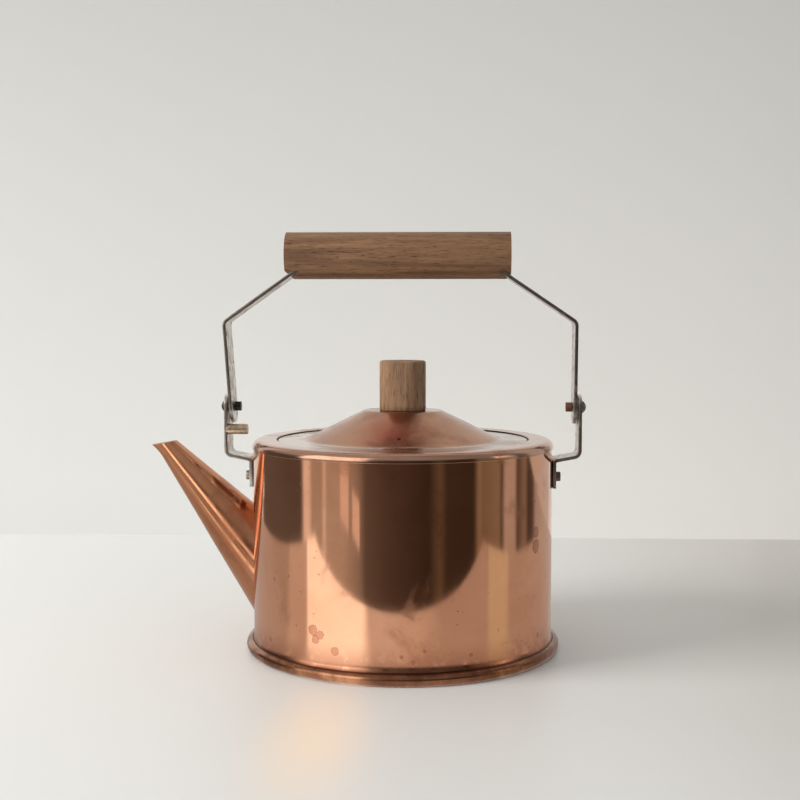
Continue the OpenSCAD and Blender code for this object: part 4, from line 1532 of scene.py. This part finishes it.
    def _mirrored_table_glow(self) -> bpy.types.Material:
        """The lit table as the wall mirrors it, brightest in the window's sector."""
        material = bpy.data.materials.new("mirrored table")
        material.use_nodes = True
        material.node_tree.nodes.clear()
        graph = Graph(material.node_tree)
        place = graph.add("ShaderNodeTexCoord").outputs["Object"]
        level: Any = self.table_glow[0][2]
        colour: Any = self.table_glow[0][1]
        for azimuth, tone, strength, softness in self.table_glow[1:]:
            across, offset = self._mirror_line(azimuth)
            away = graph.measure("DOT_PRODUCT", place, (across.x, across.y, 0.0))
            mask = graph.remap(away, offset - softness, offset + softness)
            colour = graph.blend(mask, colour, tone)
            mixed = graph.add("ShaderNodeMix", {0: mask, 2: level, 3: strength})
            level = mixed.outputs[0]
        light = graph.add("ShaderNodeEmission", {"Color": colour, "Strength": level})
        graph.add("ShaderNodeOutputMaterial", {"Surface": light.outputs[0]})
        return material

    def _wall_paint(self) -> bpy.types.Material:
        """Plaster that is clear when seen from behind, so that it never hides the kettle's back. Painted shade
        darkens it towards the left and towards the top, evening out the key light's bright patch.
        """
        material, graph, shader = new_material("wall paint")
        place = graph.add("ShaderNodeTexCoord").outputs["Object"]
        parts = graph.add("ShaderNodeSeparateXYZ", {0: place})
        # Painted shade: darker towards the left and, below, towards the top, evening out the key light.
        tone = graph.blend(graph.remap(parts.outputs[0], -0.55, 0.30), rgb(0.66, 0.665, 0.66),
                           rgb(0.90, 0.90, 0.88))
        high = graph.remap(parts.outputs[2], 0.05, 0.50, 0.0, 1.0, soft=False)
        graph.feed(shader.inputs["Base Color"],
                   graph.blend(graph.math("MULTIPLY", high, 0.36), tone, rgb(0.12, 0.12, 0.11)))
        shader.inputs["Roughness"].default_value = 0.9
        bump = graph.add("ShaderNodeBump", {"Strength": 0.12, "Distance": 0.001,
                                            "Height": graph.noise(place, 38.0, 5.0, 0.6)})
        graph.feed(shader.inputs["Normal"], bump.outputs[0])
        back = graph.add("ShaderNodeNewGeometry").outputs["Backfacing"]
        clear = graph.add("ShaderNodeBsdfTransparent").outputs[0]
        mixed = graph.add("ShaderNodeMixShader", {0: back, 1: shader.outputs[0], 2: clear})
        graph.feed(graph.tree.nodes["Material Output"].inputs["Surface"], mixed.outputs[0])
        return material

    @staticmethod
    def _glow(name: str, colour: Colour, strength: float) -> bpy.types.Material:
        """A plain emitting material for what the copper mirrors."""
        material = bpy.data.materials.new(name)
        material.use_nodes = True
        material.node_tree.nodes.clear()
        graph = Graph(material.node_tree)
        light = graph.add("ShaderNodeEmission", {"Color": colour, "Strength": strength})
        graph.add("ShaderNodeOutputMaterial", {"Surface": light.outputs[0]})
        return material

    def table_and_wall(self) -> None:
        """The table and the wall, each as one sheet for the camera and one for reflections."""
        paint, plaster = self._table_paint(), self._wall_paint()
        self._sheet("table", self._rectangle(-4, 4, -3, self.wall_y, 0.0), paint, True, False)
        self._sheet("mirrored_table", self._rectangle(self.table_left, self.table_right, self.table_front,
                                                      self.wall_y, -0.0004),
                    self._mirrored_table_glow(), False, True, False, False)
        self._sheet("wall_board", [(-4, self.wall_y, 0), (4, self.wall_y, 0), (4, self.wall_y, 3),
                                   (-4, self.wall_y, 3)], plaster, True, False)
        for name, x0, x1, strength in (("left", -0.62, -0.1, 0.86), ("middle", -0.1, 0.3, 0.74),
                                       ("right", 0.3, 1.25, 0.56)):
            self._sheet(f"mirrored_wall_{name}", [(x0, self.wall_y, 0), (x1, self.wall_y, 0),
                                                  (x1, self.wall_y, 2.2), (x0, self.wall_y, 2.2)],
                        self._glow(f"mirrored wall {name}", rgb(1.0, 0.975, 0.93), strength),
                        False, True, False, False)

    def reflections(self) -> None:
        """The pinkish picture on the far side of the room, low in the wall's reflection."""
        patch = self._glow("picture glow", rgb(1.0, 0.86, 0.76), 0.82)
        for azimuth, width, low, high in ((-39.0, 0.10, -0.040, 0.035), (-30.5, 0.085, -0.060, 0.0)):
            angle = math.radians(azimuth)
            middle = Vector((math.sin(angle), -math.cos(angle), 0.0)) * 0.9
            across = Vector((math.cos(angle), math.sin(angle), 0.0)) * (width / 2)
            corners = [middle - across + Vector((0, 0, low)), middle + across + Vector((0, 0, low - 0.02)),
                       middle + across + Vector((0, 0, high - 0.02)), middle - across + Vector((0, 0, high))]
            self._sheet(f"picture_{abs(azimuth):.0f}", corners, patch, False, True, False, False)

    def lights(self) -> None:
        """A broad soft key from the left, with the room's own light around it."""
        lamp = bpy.data.lights.new("key", "AREA")
        lamp.shape, lamp.size, lamp.size_y, lamp.energy = "RECTANGLE", 0.9, 0.8, self.key_watts
        lamp.color = (1.0, 0.985, 0.96)
        key = bpy.data.objects.new("key", lamp)
        key.location = (-1.45, -0.62, 0.80)
        key.rotation_euler = (Vector((0.05, 0.0, 0.10)) - key.location).to_track_quat("-Z", "Y").to_euler()
        key.visible_glossy = False
        bpy.context.scene.collection.objects.link(key)

    @staticmethod
    def _patch(graph: Graph, share: bpy.types.NodeSocket, rise: bpy.types.NodeSocket,
               azimuths: Point2, rises: Point2) -> bpy.types.NodeSocket:
        """A soft-edged mask between two azimuths in degrees and two sines of elevation."""
        first, last = (angle / 360.0 + 0.5 for angle in azimuths)
        sides = graph.math("MULTIPLY", graph.remap(share, first - 0.005, first + 0.005),
                           graph.remap(share, last + 0.012, last - 0.012))
        levels = graph.math("MULTIPLY", graph.remap(rise, rises[0] - 0.02, rises[0] + 0.02),
                            graph.remap(rise, rises[1] + 0.08, rises[1] - 0.08))
        return graph.math("MULTIPLY", sides, levels)

    def world(self) -> None:
        """Even light for matt surfaces, and a dark room with a pale ceiling for reflections."""
        world = bpy.data.worlds.new("room")
        world.use_nodes = True
        world.node_tree.nodes.clear()
        graph = Graph(world.node_tree)
        way = graph.add("ShaderNodeSeparateXYZ", {0: graph.add("ShaderNodeTexCoord").outputs["Generated"]})
        azimuth = graph.math("ARCTAN2", way.outputs[0], graph.math("MULTIPLY", way.outputs[1], -1.0))
        share = graph.math("MULTIPLY_ADD", azimuth, 1.0 / math.tau, 0.5)
        low = graph.ramp(share, [(angle / 360.0 + 0.5, colour) for angle, colour in self.room_profile])
        window = self._patch(graph, share, way.outputs[2], (-80.0, -26.0), (0.07, 0.70))
        lamp = self._patch(graph, share, way.outputs[2], (77.0, 87.0), (0.10, 0.40))
        upward = graph.remap(way.outputs[2], 0.18, 0.55)
        ceiling = graph.ramp(share, [(0.0, rgb(0.50, 0.48, 0.46)), (0.3, rgb(0.62, 0.60, 0.57)),
                                     (0.7, rgb(0.30, 0.28, 0.26)), (1.0, rgb(0.50, 0.48, 0.46))])
        mirrored = graph.blend(upward, low, ceiling)
        mirrored = graph.blend(window, mirrored, rgb(2.3, 2.2, 2.0))
        mirrored = graph.blend(lamp, mirrored, rgb(2.4, 2.1, 1.8))
        seen = graph.add("ShaderNodeLightPath").outputs["Is Glossy Ray"]
        even = graph.add("ShaderNodeBackground", {"Color": rgb(1.0, 0.985, 0.955), "Strength": self.ambient})
        dark = graph.add("ShaderNodeBackground", {"Color": mirrored, "Strength": 1.0})
        mixed = graph.add("ShaderNodeMixShader", {0: seen, 1: even.outputs[0], 2: dark.outputs[0]})
        graph.add("ShaderNodeOutputWorld", {"Surface": mixed.outputs[0]})
        bpy.context.scene.world = world

    def camera(self) -> None:
        """The camera, level with the grip and a little to the right."""
        lens = bpy.data.cameras.new("camera")
        lens.lens, lens.sensor_width = self.focal, 36.0
        lens.clip_start, lens.clip_end = 0.01, 50.0
        camera = bpy.data.objects.new("camera", lens)
        camera.location = self.camera_place
        camera.rotation_euler = tuple(math.radians(angle) for angle in self.camera_turn)
        bpy.context.scene.collection.objects.link(camera)
        bpy.context.scene.camera = camera

    def build(self) -> None:
        """Builds the surroundings."""
        self.camera()
        self.table_and_wall()
        self.reflections()
        self.lights()
        self.world()
        bpy.context.scene.view_settings.view_transform = "Standard"


def main() -> None:
    """Loads the frame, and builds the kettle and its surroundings."""
    logging.basicConfig(level=logging.INFO, format="%(name)s: %(message)s")
    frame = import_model()
    nodes: dict[str, bpy.types.Object] = frame["nodes"]
    lathe, rings, nuts = Lathe(), Rings(), Nuts()
    Studio().build()
    Vessel(lathe).build()
    Hardware(nodes, rings, nuts).build()
    Bail(nodes).build()
    Lid(nodes, lathe, rings).build()


if __name__ == "__main__":
    main()
